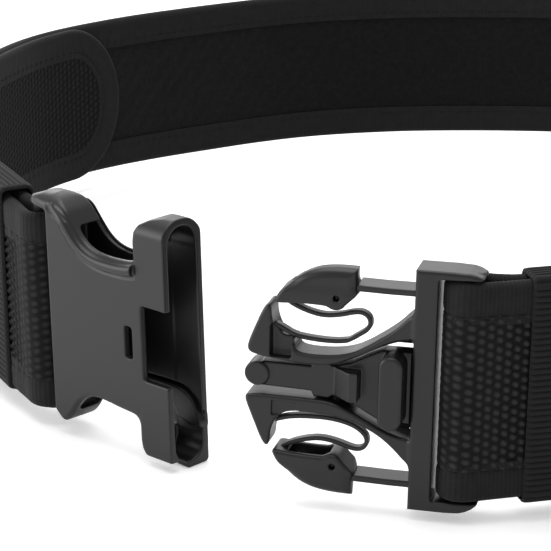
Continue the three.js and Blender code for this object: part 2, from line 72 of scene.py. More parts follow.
# The belt's middle line at equal distances: x, y and unit direction x, y
PATH = np.array([
    (-128.275, -108.647, -0.43517, 0.90035), (-132.641, -99.616, -0.43517, 0.90035),
    (-137.006, -90.584, -0.43517, 0.90035), (-141.371, -81.552, -0.43517, 0.90035),
    (-145.737, -72.521, -0.43517, 0.90035), (-150.102, -63.489, -0.43674, 0.89959),
    (-154.778, -54.616, -0.47350, 0.88079), (-159.150, -45.593, -0.37833, 0.92567),
    (-162.267, -36.065, -0.26133, 0.96525), (-164.546, -26.297, -0.19604, 0.98060),
    (-166.230, -16.410, -0.13988, 0.99017), (-167.326, -6.440, -0.07424, 0.99724),
    (-167.669, 3.582, 0.00371, 0.99999), (-167.308, 13.606, 0.06508, 0.99788),
    (-166.432, 23.598, 0.10838, 0.99411), (-165.083, 33.537, 0.16122, 0.98692),
    (-163.191, 43.387, 0.21600, 0.97639), (-160.762, 53.118, 0.26214, 0.96503),
    (-158.010, 62.764, 0.29173, 0.95650), (-154.809, 72.269, 0.35179, 0.93608),
    (-150.831, 81.473, 0.44832, 0.89388), (-145.753, 90.116, 0.55767, 0.83006),
    (-139.751, 98.149, 0.63384, 0.77346), (-133.132, 105.685, 0.68145, 0.73187),
    (-126.119, 112.854, 0.72253, 0.69134), (-118.646, 119.544, 0.76476, 0.64431),
    (-110.822, 125.821, 0.79308, 0.60911), (-102.771, 131.804, 0.81044, 0.58583),
    (-94.597, 137.618, 0.82092, 0.57105), (-86.267, 143.207, 0.84145, 0.54033),
    (-77.681, 148.391, 0.87213, 0.48927), (-68.734, 152.919, 0.91325, 0.40740),
    (-59.409, 156.608, 0.94440, 0.32881), (-49.818, 159.541, 0.96623, 0.25768),
    (-40.051, 161.820, 0.97997, 0.19913), (-30.168, 163.526, 0.99081, 0.13528),
    (-20.192, 164.565, 0.99721, 0.07466), (-10.175, 165.075, 0.99957, 0.02946),
    (-0.145, 165.200, 1.00000, -0.00239), (9.885, 165.018, 0.99937, -0.03560),
    (19.899, 164.450, 0.99682, -0.07968), (29.871, 163.377, 0.99063, -0.13656),
    (39.757, 161.686, 0.98086, -0.19470), (49.541, 159.476, 0.96849, -0.24906),
    (59.158, 156.631, 0.94725, -0.32051), (68.511, 153.015, 0.91602, -0.40114),
    (77.513, 148.595, 0.87970, -0.47552), (86.183, 143.552, 0.84984, -0.52704),
    (94.579, 138.065, 0.82489, -0.56530), (102.743, 132.237, 0.80331, -0.59556),
    (110.696, 126.124, 0.78116, -0.62433), (118.387, 119.686, 0.75073, -0.66061),
    (125.720, 112.843, 0.70909, -0.70512), (132.563, 105.511, 0.65227, -0.75799),
    (138.823, 97.676, 0.59628, -0.80278), (144.513, 89.417, 0.53740, -0.84333),
    (149.587, 80.767, 0.47314, -0.88099), (153.974, 71.749, 0.39814, -0.91733),
    (157.579, 62.391, 0.32264, -0.94652), (160.484, 52.791, 0.25815, -0.96611),
    (162.790, 43.030, 0.20295, -0.97919), (164.495, 33.146, 0.13614, -0.99069),
    (165.541, 23.171, 0.07335, -0.99731), (165.984, 13.151, 0.01578, -0.99988),
    (165.860, 3.122, -0.04189, -0.99912), (165.140, -6.882, -0.10139, -0.99485),
    (163.827, -16.825, -0.16041, -0.98705), (161.923, -26.672, -0.21892, -0.97574),
    (159.442, -36.391, -0.27548, -0.96131), (156.398, -45.947, -0.33144, -0.94347),
    (152.793, -55.307, -0.38729, -0.92196), (148.676, -64.453, -0.43347, -0.90117),
    (144.077, -73.367, -0.48458, -0.87475), (138.928, -81.973, -0.54350, -0.83941),
    (133.143, -90.165, -0.61006, -0.79235), (126.733, -97.878, -0.66553, -0.74637),
    (119.833, -105.157, -0.70843, -0.70578), (112.552, -112.056, -0.74195, -0.67045),
    (104.958, -118.609, -0.77274, -0.63472), (97.034, -124.757, -0.80791, -0.58931),
    (88.736, -130.390, -0.84710, -0.53143), (80.022, -135.352, -0.89192, -0.45220),
    (70.895, -139.509, -0.92429, -0.38168), (61.531, -143.104, -0.94059, -0.33956),
    (52.062, -146.414, -0.94562, -0.32527), (42.480, -149.377, -0.96312, -0.26907),
    (32.783, -151.944, -0.96817, -0.25030), (23.096, -154.550, -0.96287, -0.26996),
    (13.437, -157.258, -0.96287, -0.26996), (3.778, -159.966, -0.96287, -0.26996),
    (-5.881, -162.674, -0.96287, -0.26996), (-15.539, -165.382, -0.96287, -0.26996),
    (-25.198, -168.090, -0.96287, -0.26996),
])
PATH_PITCH = LENGTH / (len(PATH) - 1)

# The two sides. "end" is the buckle end's distance along the belt, and "step" the sign of that
# distance going away from the buckle; "flex", "peel" and "tip" are distances along the belt.
LEFT = SimpleNamespace(
    name="left", end=0.0, step=1,
    bar=np.array([-124.134, -106.645]),       # centre of the bar the strap turns round
    along=np.array([-0.435169, 0.900349]),    # away from the buckle
    radius=4.6,                               # of the turn, at the webbing's middle
    meet=9.5,                                 # bar to where the tongue meets the belt
    slack=0.0,                                # looseness of the turn
    flex=123.0,                               # the side bending line
    peel=180.0, tip=238.0,                    # where the tongue peels, and its tip
    narrow=0.04, drop=0.7, sag=1.3,           # how the strap gathers and sinks at the bar
    keeper_gap=1.5)                           # meeting place to the keeper
RIGHT = SimpleNamespace(
    name="right", end=LENGTH, step=-1, bar=np.array([-26.305, -164.142]),
    along=np.array([0.962871, 0.269964]), radius=4.1, meet=7.5, slack=1.3, flex=636.5,
    peel=LENGTH - 112.0, tip=LENGTH - 205.0, narrow=0.0, drop=0.0, sag=0.0, keeper_gap=3.2)
for side in (LEFT, RIGHT):
    side.out = side.step * np.array([-side.along[1], side.along[0]])   # away from the wearer

# Place of each buckle half: its origin, and its turn about Z in degrees
SOCKET = ((-89.3, -137.9, 30.0), -41.9)
PLUG = ((-38.4, -162.7, 29.9), -13.4)


# ---------------------------------------------------------------- places
def ease(value):
    """Smooth step from 0 to 1."""
    value = np.clip(value, 0, 1)
    return value * value * (3 - 2 * value)


def belt_point(distance, out=0.0):
    """Plan points on the belt's middle line, shifted outward by out."""
    distance = np.asarray(distance, float)
    span = np.clip(np.floor(distance / PATH_PITCH).astype(int), 0, len(PATH) - 2)
    t = (distance / PATH_PITCH - span)[..., None]
    start, end = PATH[span, :2], PATH[span + 1, :2]
    leave, arrive = PATH[span, 2:] * PATH_PITCH, PATH[span + 1, 2:] * PATH_PITCH
    point = ((2*t**3 - 3*t**2 + 1) * start + (t**3 - 2*t**2 + t) * leave
             + (-2*t**3 + 3*t**2) * end + (t**3 - t**2) * arrive)
    slope = ((6*t**2 - 6*t) * start + (3*t**2 - 4*t + 1) * leave
             + (-6*t**2 + 6*t) * end + (3*t**2 - 2*t) * arrive)
    slope = slope / np.linalg.norm(slope, axis=-1, keepdims=True)
    normal = np.stack([-slope[..., 1], slope[..., 0]], -1)
    return point + normal * np.asarray(out, float)[..., None]


def to_frame(points):
    points = np.asarray(points, float).reshape(-1, 3).copy()
    points[:, 0] += PLAN_X
    points[:, 1] += PLAN_Y
    return points / 1000.0


def frame_point(x, y, z=MID):
    return tuple(to_frame([[x, y, z]])[0])


def lean(points):
    """Hangs the two buckle halves out of true, towards each other at the bottom."""
    points = np.asarray(points, float).reshape(-1, 3).copy()
    x, y, z = points[:, 0], points[:, 1], points[:, 2]   # views, changed in place
    tilt = np.where(x < -82,
                    np.interp(x, [-152, -126, -105, -85], [0, 0.022, 0.026, 0.026]),
                    np.interp(x, [-80, -40, -18, 12], [-0.018, -0.018, -0.02, 0.0]))
    x -= tilt * (z - MID) * (y < -40)
    # the plug's nose points slightly up
    nose = (x > -81) & (x < -30) & (y < -100)
    z += np.where(nose, np.interp(x, [-75, -44], [0.75, 0.0]), 0.0)
    return points


# ---------------------------------------------------------------- meshes
def mesh_object(name, points, quads, uv=None, height=None, sharp=None):
    """A smooth mesh of plan points and an (n, 4) array of quads, turned to face outward."""
    mesh = bpy.data.meshes.new(name)
    points = to_frame(lean(points))
    a, b, c, d = (points[quads[:, i]] for i in range(4))
    if (np.cross(a, b) * c).sum() + (np.cross(a, c) * d).sum() < 0:
        quads = quads[:, ::-1]
    count = len(quads)
    mesh.vertices.add(len(points))
    mesh.vertices.foreach_set("co", points.astype(np.float32).ravel())
    mesh.loops.add(count * 4)
    mesh.loops.foreach_set("vertex_index", quads.astype(np.int32).ravel())
    mesh.polygons.add(count)
    mesh.polygons.foreach_set("loop_start", np.arange(0, count * 4, 4, dtype=np.int32))
    mesh.polygons.foreach_set("loop_total", np.full(count, 4, dtype=np.int32))
    mesh.update(calc_edges=True)
    mesh.polygons.foreach_set("use_smooth", np.ones(len(mesh.polygons), bool))
    if uv is not None:
        layer = mesh.uv_layers.new(name="UVMap")
        corner = np.empty(len(mesh.loops), dtype=np.int32)
        mesh.loops.foreach_get("vertex_index", corner)
        layer.data.foreach_set("uv", np.asarray(uv, np.float32)[corner].ravel())
    if height is not None:
        layer = mesh.attributes.new("hgt", "FLOAT", "POINT")
        layer.data.foreach_set("value", np.asarray(height, np.float32).ravel())
    mesh.validate()
    if sharp:
        mesh.set_sharp_from_angle(angle=math.radians(sharp))
    piece = bpy.data.objects.new(name, mesh)
    bpy.context.scene.collection.objects.link(piece)
    return piece


def grid_quads(rows, columns, wrap_rows=False):
    """Quads of a grid whose columns close up, and its rows too if asked."""
    row, column = np.meshgrid(np.arange(rows if wrap_rows else rows - 1), np.arange(columns),
                              indexing="ij")
    next_row, next_column = (row + 1) % rows, (column + 1) % columns
    return np.stack([row * columns + column, next_row * columns + column,
                     next_row * columns + next_column, row * columns + next_column],
                    -1).reshape(-1, 4)


def closed_sweep(points, uv, height):
    """points (stations, ring, 3): a closed ring swept along stations, with flat ends."""
    rows, ring, _ = points.shape
    # a strip of quads across the ring joins each point with its mirror on the other side
    j = np.arange((ring - 2) // 2)
    cap = np.stack([j, j + 1, ring - 2 - j, ring - 1 - j], 1)
    quads = np.concatenate([grid_quads(rows, ring), cap[:, ::-1], cap + (rows - 1) * ring])
    return points.reshape(-1, 3), quads, uv.reshape(-1, 2), height.reshape(-1)


def dress(piece, material, slot, *replaced):
    piece.data.materials.append(material)
    if replaced:
        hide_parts(*replaced)
    return piece


# ---------------------------------------------------------------- the strap as a surface
class Strap:
    """A side's strap. A place on it is its run from the rear middle, its height z, and out,
    the distance from the strap's middle towards its woven face."""

    FINE = 0.4           # spacing of the strap's line
    SMOOTHING = 2.0      # half width of the smoothing along it

    def __init__(self, side):
        self.side = side
        belt_stop = side.end + side.step * LOOP_END
        self.belt_end = abs(belt_stop - REAR_MID)   # run where the single webbing begins
        belt = belt_point(np.arange(REAR_MID, belt_stop, -side.step))
        tongue = belt_point(np.arange(side.end + side.step * (side.meet + 8),
                                      side.tip + side.step * 0.5, side.step), TONGUE_OUT)
        rough = np.vstack([belt, self.wrap(), tongue])
        station = self.lengths(rough)
        even = np.linspace(0, station[-1], int(station[-1] / self.FINE) + 1)
        line = np.column_stack([np.interp(even, station, rough[:, k]) for k in (0, 1)])
        # smooth, with both ends carried on straight
        reach = int(round(self.SMOOTHING / self.FINE))
        kernel = np.hanning(2 * reach + 3)[1:-1]
        kernel /= kernel.sum()
        before = line[0] + (line[0] - line[1]) * np.arange(reach, 0, -1)[:, None]
        after = line[-1] + (line[-1] - line[-2]) * np.arange(1, reach + 1)[:, None]
        line = np.vstack([before, line, after])
        line = np.column_stack([np.convolve(line[:, k], kernel, "valid") for k in (0, 1)])
        self.line, self.station = line, self.lengths(line)
        self.length = self.station[-1]
        slope = np.gradient(line, axis=0)
        slope /= np.linalg.norm(slope, axis=1)[:, None]
        self.normal = -side.step * np.column_stack([-slope[:, 1], slope[:, 0]])

    @staticmethod
    def lengths(line):
        return np.r_[0, np.cumsum(np.hypot(*np.diff(line, axis=0).T))]

    def wrap(self):
        """Plan points of the turn round the bar."""
        side, radius = self.side, self.side.radius
        rise = radius + TONGUE_OUT
        slant = math.atan2(rise, side.meet) + math.asin(radius / math.hypot(side.meet, rise))
        first, last, steps = math.pi / 2, 1.5 * math.pi + slant, 48
        angles = [first + (last - first) * i / steps for i in range(1, steps + 1)]
        points = [(LOOP_END, radius), (2.5, radius), (0.0, radius)]
        points += [(radius * math.cos(angle), radius * math.sin(angle)) for angle in angles]
        points += [(side.meet - 3, rise - 3 * math.tan(slant) * 0.75), (side.meet + 1, rise)]
        points = np.array([side.bar + side.along * a + side.out * b for a, b in points])
        near = np.clip((4.5 - (points - side.bar) @ side.along) / 6.0, 0, 1)
        return points - near[:, None] * side.slack * side.along

    def plan(self, run, table):
        return np.stack([np.interp(run, self.station, table[:, k]) for k in (0, 1)], -1)

    def place(self, run, z, out):
        run, z, out = np.broadcast_arrays(*(np.asarray(a, float) for a in (run, z, out)))
        side = self.side
        # gathered and lower round the bar, which is REAR_MID along the strap
        near = ease(np.clip((run - (REAR_MID - 42)) / 38, 0, 1)
                    * np.clip((REAR_MID + 45 - run) / 38, 0, 1))
        z = MID + (z - MID) * (1 - side.narrow * near) - side.drop * near
        # slightly wider and lower at the rear
        rear = ease((190 - run) / 110)
        z = MID + (z - MID) * (1 + 0.02 * rear) - 0.55 * rear
        # the lower part sags at the bar
        near = ease(1 - np.abs(run - (self.belt_end + 4.0)) / 38)
        z = z - side.sag * near * np.clip((MID + 8 - z) / 30, 0, 1)
        plan = self.plan(run, self.line) + self.plan(run, self.normal) * out[..., None]
        return np.concatenate([plan, z[..., None]], -1)

    def half_thickness(self, run):
        """Half the full belt, then half the single webbing."""
        single = ease((run - (self.belt_end - 3.0)) / 6.0)
        return BELT_HALF * (1 - single) + TONGUE_HALF * single

    def tip_half(self, run):
        """Half height: full until the rounded end."""
        x = np.clip((run - (self.length - TIP_RADIUS)) / TIP_RADIUS, 0, 1)
        return WIDTH / 2 * np.sqrt(np.clip(1 - x * x, 0, 1))


# ---------------------------------------------------------------- fabrics
WEAVE_RUN, WEAVE_RISE = 2.0, 2.04   # the weave's pitch along and across the belt
WEAVE_RELIEF = 0.6


def weave_height(run, z):
    """Relief and float mask: rounded floats, alternate columns offset by half a pitch."""
    across = run / WEAVE_RUN
    column = np.floor(across)
    x = (across - column - 0.5) * 2
    row = (z - MID) / WEAVE_RISE + 0.5 * np.mod(column, 2)
    jitter = 0.06 * np.sin(column * 12.9898 + np.floor(row) * 78.233)
    y = (row - np.floor(row) - 0.5 + jitter) * 2
    slant = 0.22 * x
    mask = 1 - (np.abs(x) / 0.84) ** 2.1 - (np.abs(y - slant) / 0.76) ** 2.1
    mask = np.clip(mask, 0, None) ** 0.65
    # a little slack between neighbouring columns
    slack = 0.10 * np.sin(run * 0.21 + 1.3) * np.sin(z * 0.33 + run * 0.05)
    return WEAVE_RELIEF * (mask + slack * 0.5), mask


def slab_object(strap, name, run, z, upper, lower, height, sharp):
    """A band between two skins; (run, z) is the grid both share."""
    ring = np.concatenate([strap.place(run, z, upper), strap.place(run, z, lower)[:, ::-1]], 1)
    uv = np.stack([run, z], -1)
    uv = np.concatenate([uv, uv[:, ::-1]], 1)
    height = np.concatenate([height, np.zeros_like(height)], 1)
    return mesh_object(name, *closed_sweep(ring, uv, height), sharp=sharp)


def woven_band(strap, name, start, end, flat=False):
    """The woven face from one run to another; flat lowers its relief."""
    step = WEAVE_RUN / 6
    rows = max(8, int(round((end - start) / step)) + 1)
    columns = 121
    stations = np.linspace(start, end, rows)
    across = np.linspace(-1, 1, columns)
    half_height = np.minimum(WIDTH / 2 - WEAVE_INSET,
                             np.maximum(strap.tip_half(stations + 5.0) - 5.0, 0.6))[:, None]
    run = np.repeat(stations[:, None], columns, 1)
    z = MID + half_height * across[None, :]
    relief, mask = weave_height(run, z)
    inner = np.clip((1 - np.abs(across))[None] * half_height / 1.3, 0, 1)
    relief = relief * inner - 0.15 * (1 - inner)
    mask = mask * inner
    if flat:
        relief = relief * 0.4 + 0.28
        mask = mask * 0.55
    # flatter where the webbing is stretched round the bar
    away = (strap.plan(stations, strap.line) - strap.side.bar) @ strap.side.along
    calm = np.clip((7.5 - away) / 5.0, 0, 1)[:, None] * inner
    relief = relief * (1 - 0.86 * calm) + 0.5 * calm
    half = strap.half_thickness(stations)[:, None]
    single = (stations > strap.belt_end)[:, None]
    lower = np.where(single, -half + 0.5, half - 1.5)
    # the float mask goes on as the colour's height, which paints shade between the floats and light
    # on their tops
    return slab_object(strap, name, run, z, half - 0.62 + relief, lower, mask, sharp=70)


def soft_sheet(strap, name, start, end, lower, upper, edge, bumps=0.0, tip_inset=0.0):
    """A sheet between two depths, edge in from the belt's edges; its lower skin has the bumps."""
    rows = max(6, int((end - start) / (1.2)) + 1)
    columns = 29
    stations = np.linspace(start, end, rows)
    across = np.linspace(0, 1, columns)[None]
    half_height = np.maximum(strap.tip_half(stations + tip_inset) - tip_inset, 0.5)
    z_low = np.maximum(BOTTOM + edge, MID - half_height)[:, None]
    z_high = np.minimum(TOP - edge, MID + half_height)[:, None]
    run = np.repeat(stations[:, None], columns, 1)
    z = z_low + (z_high - z_low) * across
    fade = np.minimum(1, np.minimum(across, 1 - across) * 12)
    pattern = (np.sin(run * 0.31 + 2 * np.sin(z * 0.17)) * np.sin(z * 0.43 + run * 0.07)
               + 0.5 * np.sin(run * 1.1 + z * 0.9))
    return slab_object(strap, name, run, z, upper, lower - bumps * pattern * fade,
                       np.zeros_like(run), sharp=60)


def fold_profile(half):
    """Folded tape's section, outer skin then inner: (distance in from the edge, depth)."""
    lip_width, lip_drop = 1.6, 0.16
    leg = np.linspace(TAPE_WIDTH, half, 12)[:-1]
    depth = half - lip_drop * np.maximum(0.0, (leg - (TAPE_WIDTH - lip_width)) / lip_width)
    angle = math.pi * np.arange(10) / 9
    fold = np.column_stack([half - half * np.sin(angle) * 0.92, half * np.cos(angle)])
    outer = np.concatenate([np.column_stack([leg, depth]), fold,
                            np.column_stack([leg, -depth])[::-1]])
    inner = outer.copy()
    core = half - TAPE_THICK
    inner[:, 1] = np.clip(outer[:, 1], -core, core)
    bulge = np.sqrt(np.clip(1 - (inner[:, 1] / core) ** 2, 0, 1))
    inner[:, 0] = np.where(outer[:, 0] < half + 1e-6, TAPE_THICK + core - core * bulge * 0.9,
                           outer[:, 0])
    return np.concatenate([outer, inner[::-1]])


def edging(strap, name, run, z, in_run, in_z):
    """A tape folded over the edge along (run, z); (in_run, in_z) points into the fabric."""
    distance = np.r_[0, np.cumsum(np.hypot(np.diff(run), np.diff(z)))][:, None]
    rings = np.array([fold_profile(round(float(half), 3)) for half in strap.half_thickness(run)])
    inward, depth = rings[..., 0], rings[..., 1]
    skin = rings.shape[1] // 2
    outer = np.arange(2 * skin) < skin
    # the stitch line pulls the tape down, a little more at each stitch
    pull = np.exp(-((inward - STITCH_INSET) / 0.75) ** 2)
    wave = 0.16 + 0.10 * np.cos(2 * math.pi * distance / STITCH_PITCH)
    soft = 0.07 * np.sin(distance / 9.7) * np.sin(inward * 0.7 + distance * 0.11)
    depth = np.where(outer, depth + np.sign(depth) * (soft - pull * wave), depth)
    points = strap.place(run[:, None] + in_run[:, None] * inward,
                         z[:, None] + in_z[:, None] * inward, depth)
    across = np.r_[np.arange(skin), np.arange(skin)[::-1]] * 0.6
    uv = np.stack(np.broadcast_arrays(distance, across), -1)
    height = np.broadcast_to(outer.astype(float), inward.shape)
    return mesh_object(name, *closed_sweep(points, uv, height), sharp=70)


def stitching(strap, name, rows):
    """Small rounded stitches; a row is run, z, direction (run, z) and face (1 woven, -1 back)."""
    half_length, half_width, half_depth = 1.15, 0.27, 0.22
    around = np.linspace(0, 2 * math.pi, 7)[:-1][None]
    along = np.array([-1.0, -0.8, -0.3, 0.3, 0.8, 1.0])[:, None]
    swell = np.array([0.25, 0.75, 1.0, 1.0, 0.75, 0.25])[:, None]
    length = along * half_length + 0 * around
    width = swell * half_width * np.cos(around)
    depth = swell * half_depth * np.sin(around) - 0.16 * along ** 2 + 0.03
    cap = np.array([[0, 1, 2, 3], [0, 3, 4, 5]])
    one = np.concatenate([grid_quads(*length.shape), cap[:, ::-1], cap + 30])
    points, quads, uv = [], [], []
    for index, (run, z, d_run, d_z, face) in enumerate(rows):
        half = float(strap.half_thickness(run))
        at_run = run + d_run * length - d_z * width
        at_z = z + d_z * length + d_run * width
        points.append(strap.place(at_run, at_z, face * (half - 0.20 + depth)).reshape(-1, 3))
        quads.append(one[:, ::face] + index * length.size)
        uv.append(np.stack([at_run, at_z], -1).reshape(-1, 2))
    points = np.concatenate(points)
    return mesh_object(name, points, np.concatenate(quads), np.concatenate(uv),
                       np.ones(len(points)))


# ---------------------------------------------------------------- solids as distance fields
# A field gives the distance to a solid, negative inside, in a buckle half's own axes: x along the
# buckle to the right, y up, z out to the front.
def union(first, second, soft):
    share = np.clip(0.5 + 0.5 * (second - first) / soft, 0, 1)
    return second * (1 - share) + first * share - soft * share * (1 - share)


def overlap(first, second, soft):
    return -union(-first, -second, soft)


def cut(body, tool, soft):
    return overlap(body, -tool, soft)


def rounded(*gaps, radius):
    """The overlap of fields at right angles, with edges rounded by radius."""
    gaps = [gap + radius for gap in gaps]
    spread = sum(np.maximum(gap, 0) ** 2 for gap in gaps)
    return np.minimum(functools.reduce(np.maximum, gaps), 0) + np.sqrt(spread) - radius


def slab(outline, z, half, radius, centre=0.0):
    """A flat outline given thickness."""
    return rounded(outline, np.abs(z - centre) - half, radius=radius)


def box(x, y, z, x_span, y_span, z_span, radius):
    gaps = [np.abs(a - (low + high) / 2) - (high - low) / 2
            for a, (low, high) in ((x, x_span), (y, y_span), (z, z_span))]
    return rounded(*gaps, radius=radius)


def stadium(y, z, half_y, half_z, radius):
    return rounded(np.abs(y) - half_y, np.abs(z) - half_z, radius=radius)


def rod(a, b, radius):
    return np.sqrt(a ** 2 + b ** 2) - radius


def line_distance(points, x, y):
    """Distance to an open line in the plane."""
    points = np.asarray(points, float)
    nearest = np.full(np.broadcast(x, y).shape, 1e9)
    for start, end in zip(points[:-1], points[1:]):
        edge = end - start
        dx, dy = x - start[0], y - start[1]
        share = np.clip((dx * edge[0] + dy * edge[1]) / (edge @ edge + 1e-12), 0, 1)
        nearest = np.minimum(nearest, (dx - edge[0] * share) ** 2 + (dy - edge[1] * share) ** 2)
    return np.sqrt(nearest)


def polygon_distance(points, x, y):
    """Signed distance to a polygon in the plane."""
    loop = np.asarray(points, float)
    loop = np.vstack([loop, loop[:1]])
    inside = np.zeros(np.broadcast(x, y).shape, bool)
    for start, end in zip(loop[:-1], loop[1:]):
        edge = end - start
        if abs(edge[1]) > 1e-12:
            inside ^= (((start[1] > y) != (end[1] > y))
                       & (x < start[0] + (y - start[1]) * edge[0] / edge[1]))
    return np.where(inside, -1, 1) * line_distance(loop, x, y)


def round_corners(points, passes=2, keep=()):
    """Cuts a polygon's corners, except those in keep."""
    points = [(np.array(point, float), i in keep) for i, point in enumerate(points)]
    for _ in range(passes):
        finer = []
        for i, (here, kept) in enumerate(points):
            if kept:
                finer.append((here, True))
                continue
            for other in (points[i - 1][0], points[(i + 1) % len(points)][0]):
                finer.append((here + (other - here) * 0.25, False))
        points = finer
    return np.array([point for point, _ in points])


def open_curve(points):
    return round_corners(points, keep=(0, len(points) - 1))


def mirrored(points):
    """Points followed by their mirror images in y, going back."""
    return points + [(x, -y) for x, y in points[::-1]]


def surface_net(field, low, high, step):
    """Quads over the field's zero level, with each vertex then moved onto it."""
    axes = [np.arange(a - 2.1 * step, b + 2.1 * step, step) for a, b in zip(low, high)]
    values = field(axes[0][:, None, None], axes[1][None, :, None], axes[2][None, None, :])
    values = values + np.zeros([len(axis) for axis in axes])
    values = np.where(values == 0, 1e-9, values)
    inside = values < 0
    size = np.array(values.shape)
    total = np.zeros((*(size - 1), 3), np.float32)
    count = np.zeros(tuple(size - 1), np.float32)
    quads = []
    for axis in range(3):
        near, far = [slice(None)] * 3, [slice(None)] * 3
        near[axis], far[axis] = slice(0, -1), slice(1, None)
        near, far = tuple(near), tuple(far)
        crossing = inside[near] != inside[far]
        edges = np.argwhere(crossing)
        start, end = values[near][crossing], values[far][crossing]
        spots = edges.astype(np.float64)
        spots[:, axis] += start / (start - end)
        others = [(axis + 1) % 3, (axis + 2) % 3]
        limit = size[others] - 1
        # each cell round a crossed edge takes the crossing into its average
        for back in itertools.product((0, 1), repeat=2):
            cells = edges.copy()
            cells[:, others] -= back
            valid = ((cells[:, others] >= 0) & (cells[:, others] < limit)).all(1)
            index = tuple(cells[valid].T)
            np.add.at(count, index, 1)
            for k in range(3):
                np.add.at(total[..., k], index, spots[valid, k])
        # and a quad joins the four cells
        inner = ((edges[:, others] > 0) & (edges[:, others] < limit)).all(1)
        corners = []
        for back in ((1, 1), (0, 1), (0, 0), (1, 0)):
            cells = edges[inner]
            cells[:, others] -= back
            corners.append(cells)
        corners = np.stack(corners, 1)
        flip = ~(start < 0)[inner]
        corners[flip] = corners[flip][:, ::-1]
        quads.append(corners)
    active = count > 0
    number = np.full(active.shape, -1, np.int64)
    number[active] = np.arange(active.sum())
    centres = total[active] / count[active][:, None]
    quads = np.concatenate(quads)
    quads = number[quads[..., 0], quads[..., 1], quads[..., 2]]
    points = np.stack([axes[k][0] + centres[:, k] * step for k in range(3)], -1)
    points = points.astype(np.float64)
    probe = 0.04
    for _ in range(3):
        value = field(*points.T)
        slope = np.stack([(field(*(points + shift).T) - field(*(points - shift).T)) / (2 * probe)
                          for shift in probe * np.eye(3)], -1)
        move = np.clip(value / np.maximum((slope ** 2).sum(1), 0.25), -0.35 * step, 0.35 * step)
        points = points - slope * move[:, None]
    return points, quads


def to_plan(points, place):
    """From a buckle half's own axes to the plan."""
    (x, y, z), yaw = place
    cos, sin = math.cos(math.radians(yaw)), math.sin(math.radians(yaw))
    along, up, out = points.T
    return np.column_stack([x + cos * along + sin * out, y + sin * along - cos * out, z + up])


def moulded(name, field, low, high, place, step):
    points, quads = surface_net(field, low, high, step * (1.0))
    return mesh_object(name, to_plan(points, place), quads)


# ---------------------------------------------------------------- materials
class Shader:
    """A material with one principled shader, and short ways to add nodes to it."""

    def __init__(self, name, **values):
        self.material = bpy.data.materials.new(name)
        self.material.use_nodes = True
        self.tree = self.material.node_tree
        self.tree.nodes.clear()
        output = self.node("OutputMaterial")
        self.surface = self.node("BsdfPrincipled")
        self.link(self.surface.outputs[0], output.inputs[0])
        for key, value in values.items():
            self.set(key.replace("_", " "), value)

    def node(self, kind):
        return self.tree.nodes.new("ShaderNode" + kind)

    def link(self, source, target):
        self.tree.links.new(source, target)

    def set(self, socket, value):
        """Gives an input of the surface a value or a link."""
        if isinstance(value, bpy.types.NodeSocket):
            self.link(value, self.surface.inputs[socket])
        else:
            self.surface.inputs[socket].default_value = value

    def math(self, operation, *values):
        node = self.node("Math")
        node.operation = operation
        for socket, value in zip(node.inputs, values):
            if isinstance(value, (int, float)):
                socket.default_value = value
            else:
                self.link(value, socket)
        return node.outputs[0]

    def total(self, *terms):
        """Sum of terms; a pair is a socket and its weight."""
        terms = [self.math("MULTIPLY", *term) if isinstance(term, tuple) else term
                 for term in terms]
        result = terms.pop()
        while terms:
            result = self.math("ADD", terms.pop(), result)
        return result

    def wave(self, value, pitch):
        return self.math("SINE", self.total((value, 2 * math.pi / pitch), 0.0))

    def noise(self, vector, scale, detail, roughness=0.6):
        node = self.node("TexNoise")
        node.inputs["Scale"].default_value = scale
        node.inputs["Detail"].default_value = detail
        node.inputs["Roughness"].default_value = roughness
        self.link(vector, node.inputs["Vector"])
        return node.outputs["Fac"]

    def colour(self, level, base, *stops, tint=(1, 1, 1)):
        """Colours by level. A stop is a position, a share of base and, if given, its own tint."""
        ramp = self.node("ValToRGB")
        self.link(level, ramp.inputs[0])
        elements = ramp.color_ramp.elements
        # the ramp's own two elements take the first and last stops
        for i in (0, -1):
            elements[i].position = stops[i][0]
        targets = [elements[0]] + [elements.new(stop[0]) for stop in stops[1:-1]]
        targets = [elements[i] for i in range(len(targets) + 1)]
        for element, (_, share, *own) in zip(targets, stops):
            red, green, blue = own[0] if own else tint
            grey = base * share
            element.color = (grey * red, grey * green, grey * blue, 1)
        self.set("Base Color", ramp.outputs[0])

    def bump(self, height, strength, distance):
        node = self.node("Bump")
        node.inputs["Strength"].default_value = strength
        node.inputs["Distance"].default_value = distance
        self.link(height, node.inputs["Height"])
        self.set("Normal", node.outputs[0])

    def uv(self):
        node = self.node("UVMap")
        node.uv_map = "UVMap"
        return node.outputs[0]

    def height(self):
        node = self.node("Attribute")
        node.attribute_name = "hgt"
        return node.outputs["Fac"]

    def cloth_inputs(self):
        """UV vector, its two parts in millimetres, and a fine noise."""
        vector = self.uv()
        parts = self.node("SeparateXYZ")
        self.link(vector, parts.inputs[0])
        return vector, parts.outputs[0], parts.outputs[1], self.noise(vector, scale=5.0, detail=3)

    def mottle(self, vector):
        return self.noise(vector, scale=0.35, detail=4)


def plastic(name, base=0.0065, roughness=0.34):
    shader = Shader(name, IOR=1.5, Specular_IOR_Level=0.42)
    coordinates = shader.node("TexCoord").outputs["Object"]
    fine = shader.noise(coordinates, scale=4200, detail=2)
    medium = shader.noise(coordinates, scale=260, detail=4)
    broad = shader.noise(coordinates, scale=45, detail=3)
    shader.colour(shader.total((fine, 0.5), (medium, 0.5)), base, (0.3, 0.85), (0.7, 1.25),
                  tint=(1, 1, 1.03))
    shader.set("Roughness", shader.total(roughness - 0.06, (broad, 0.10), (medium, 0.05)))
    shader.bump(shader.total((fine, 0.6), (medium, 0.9)), strength=0.35, distance=0.00003)
    return shader.material


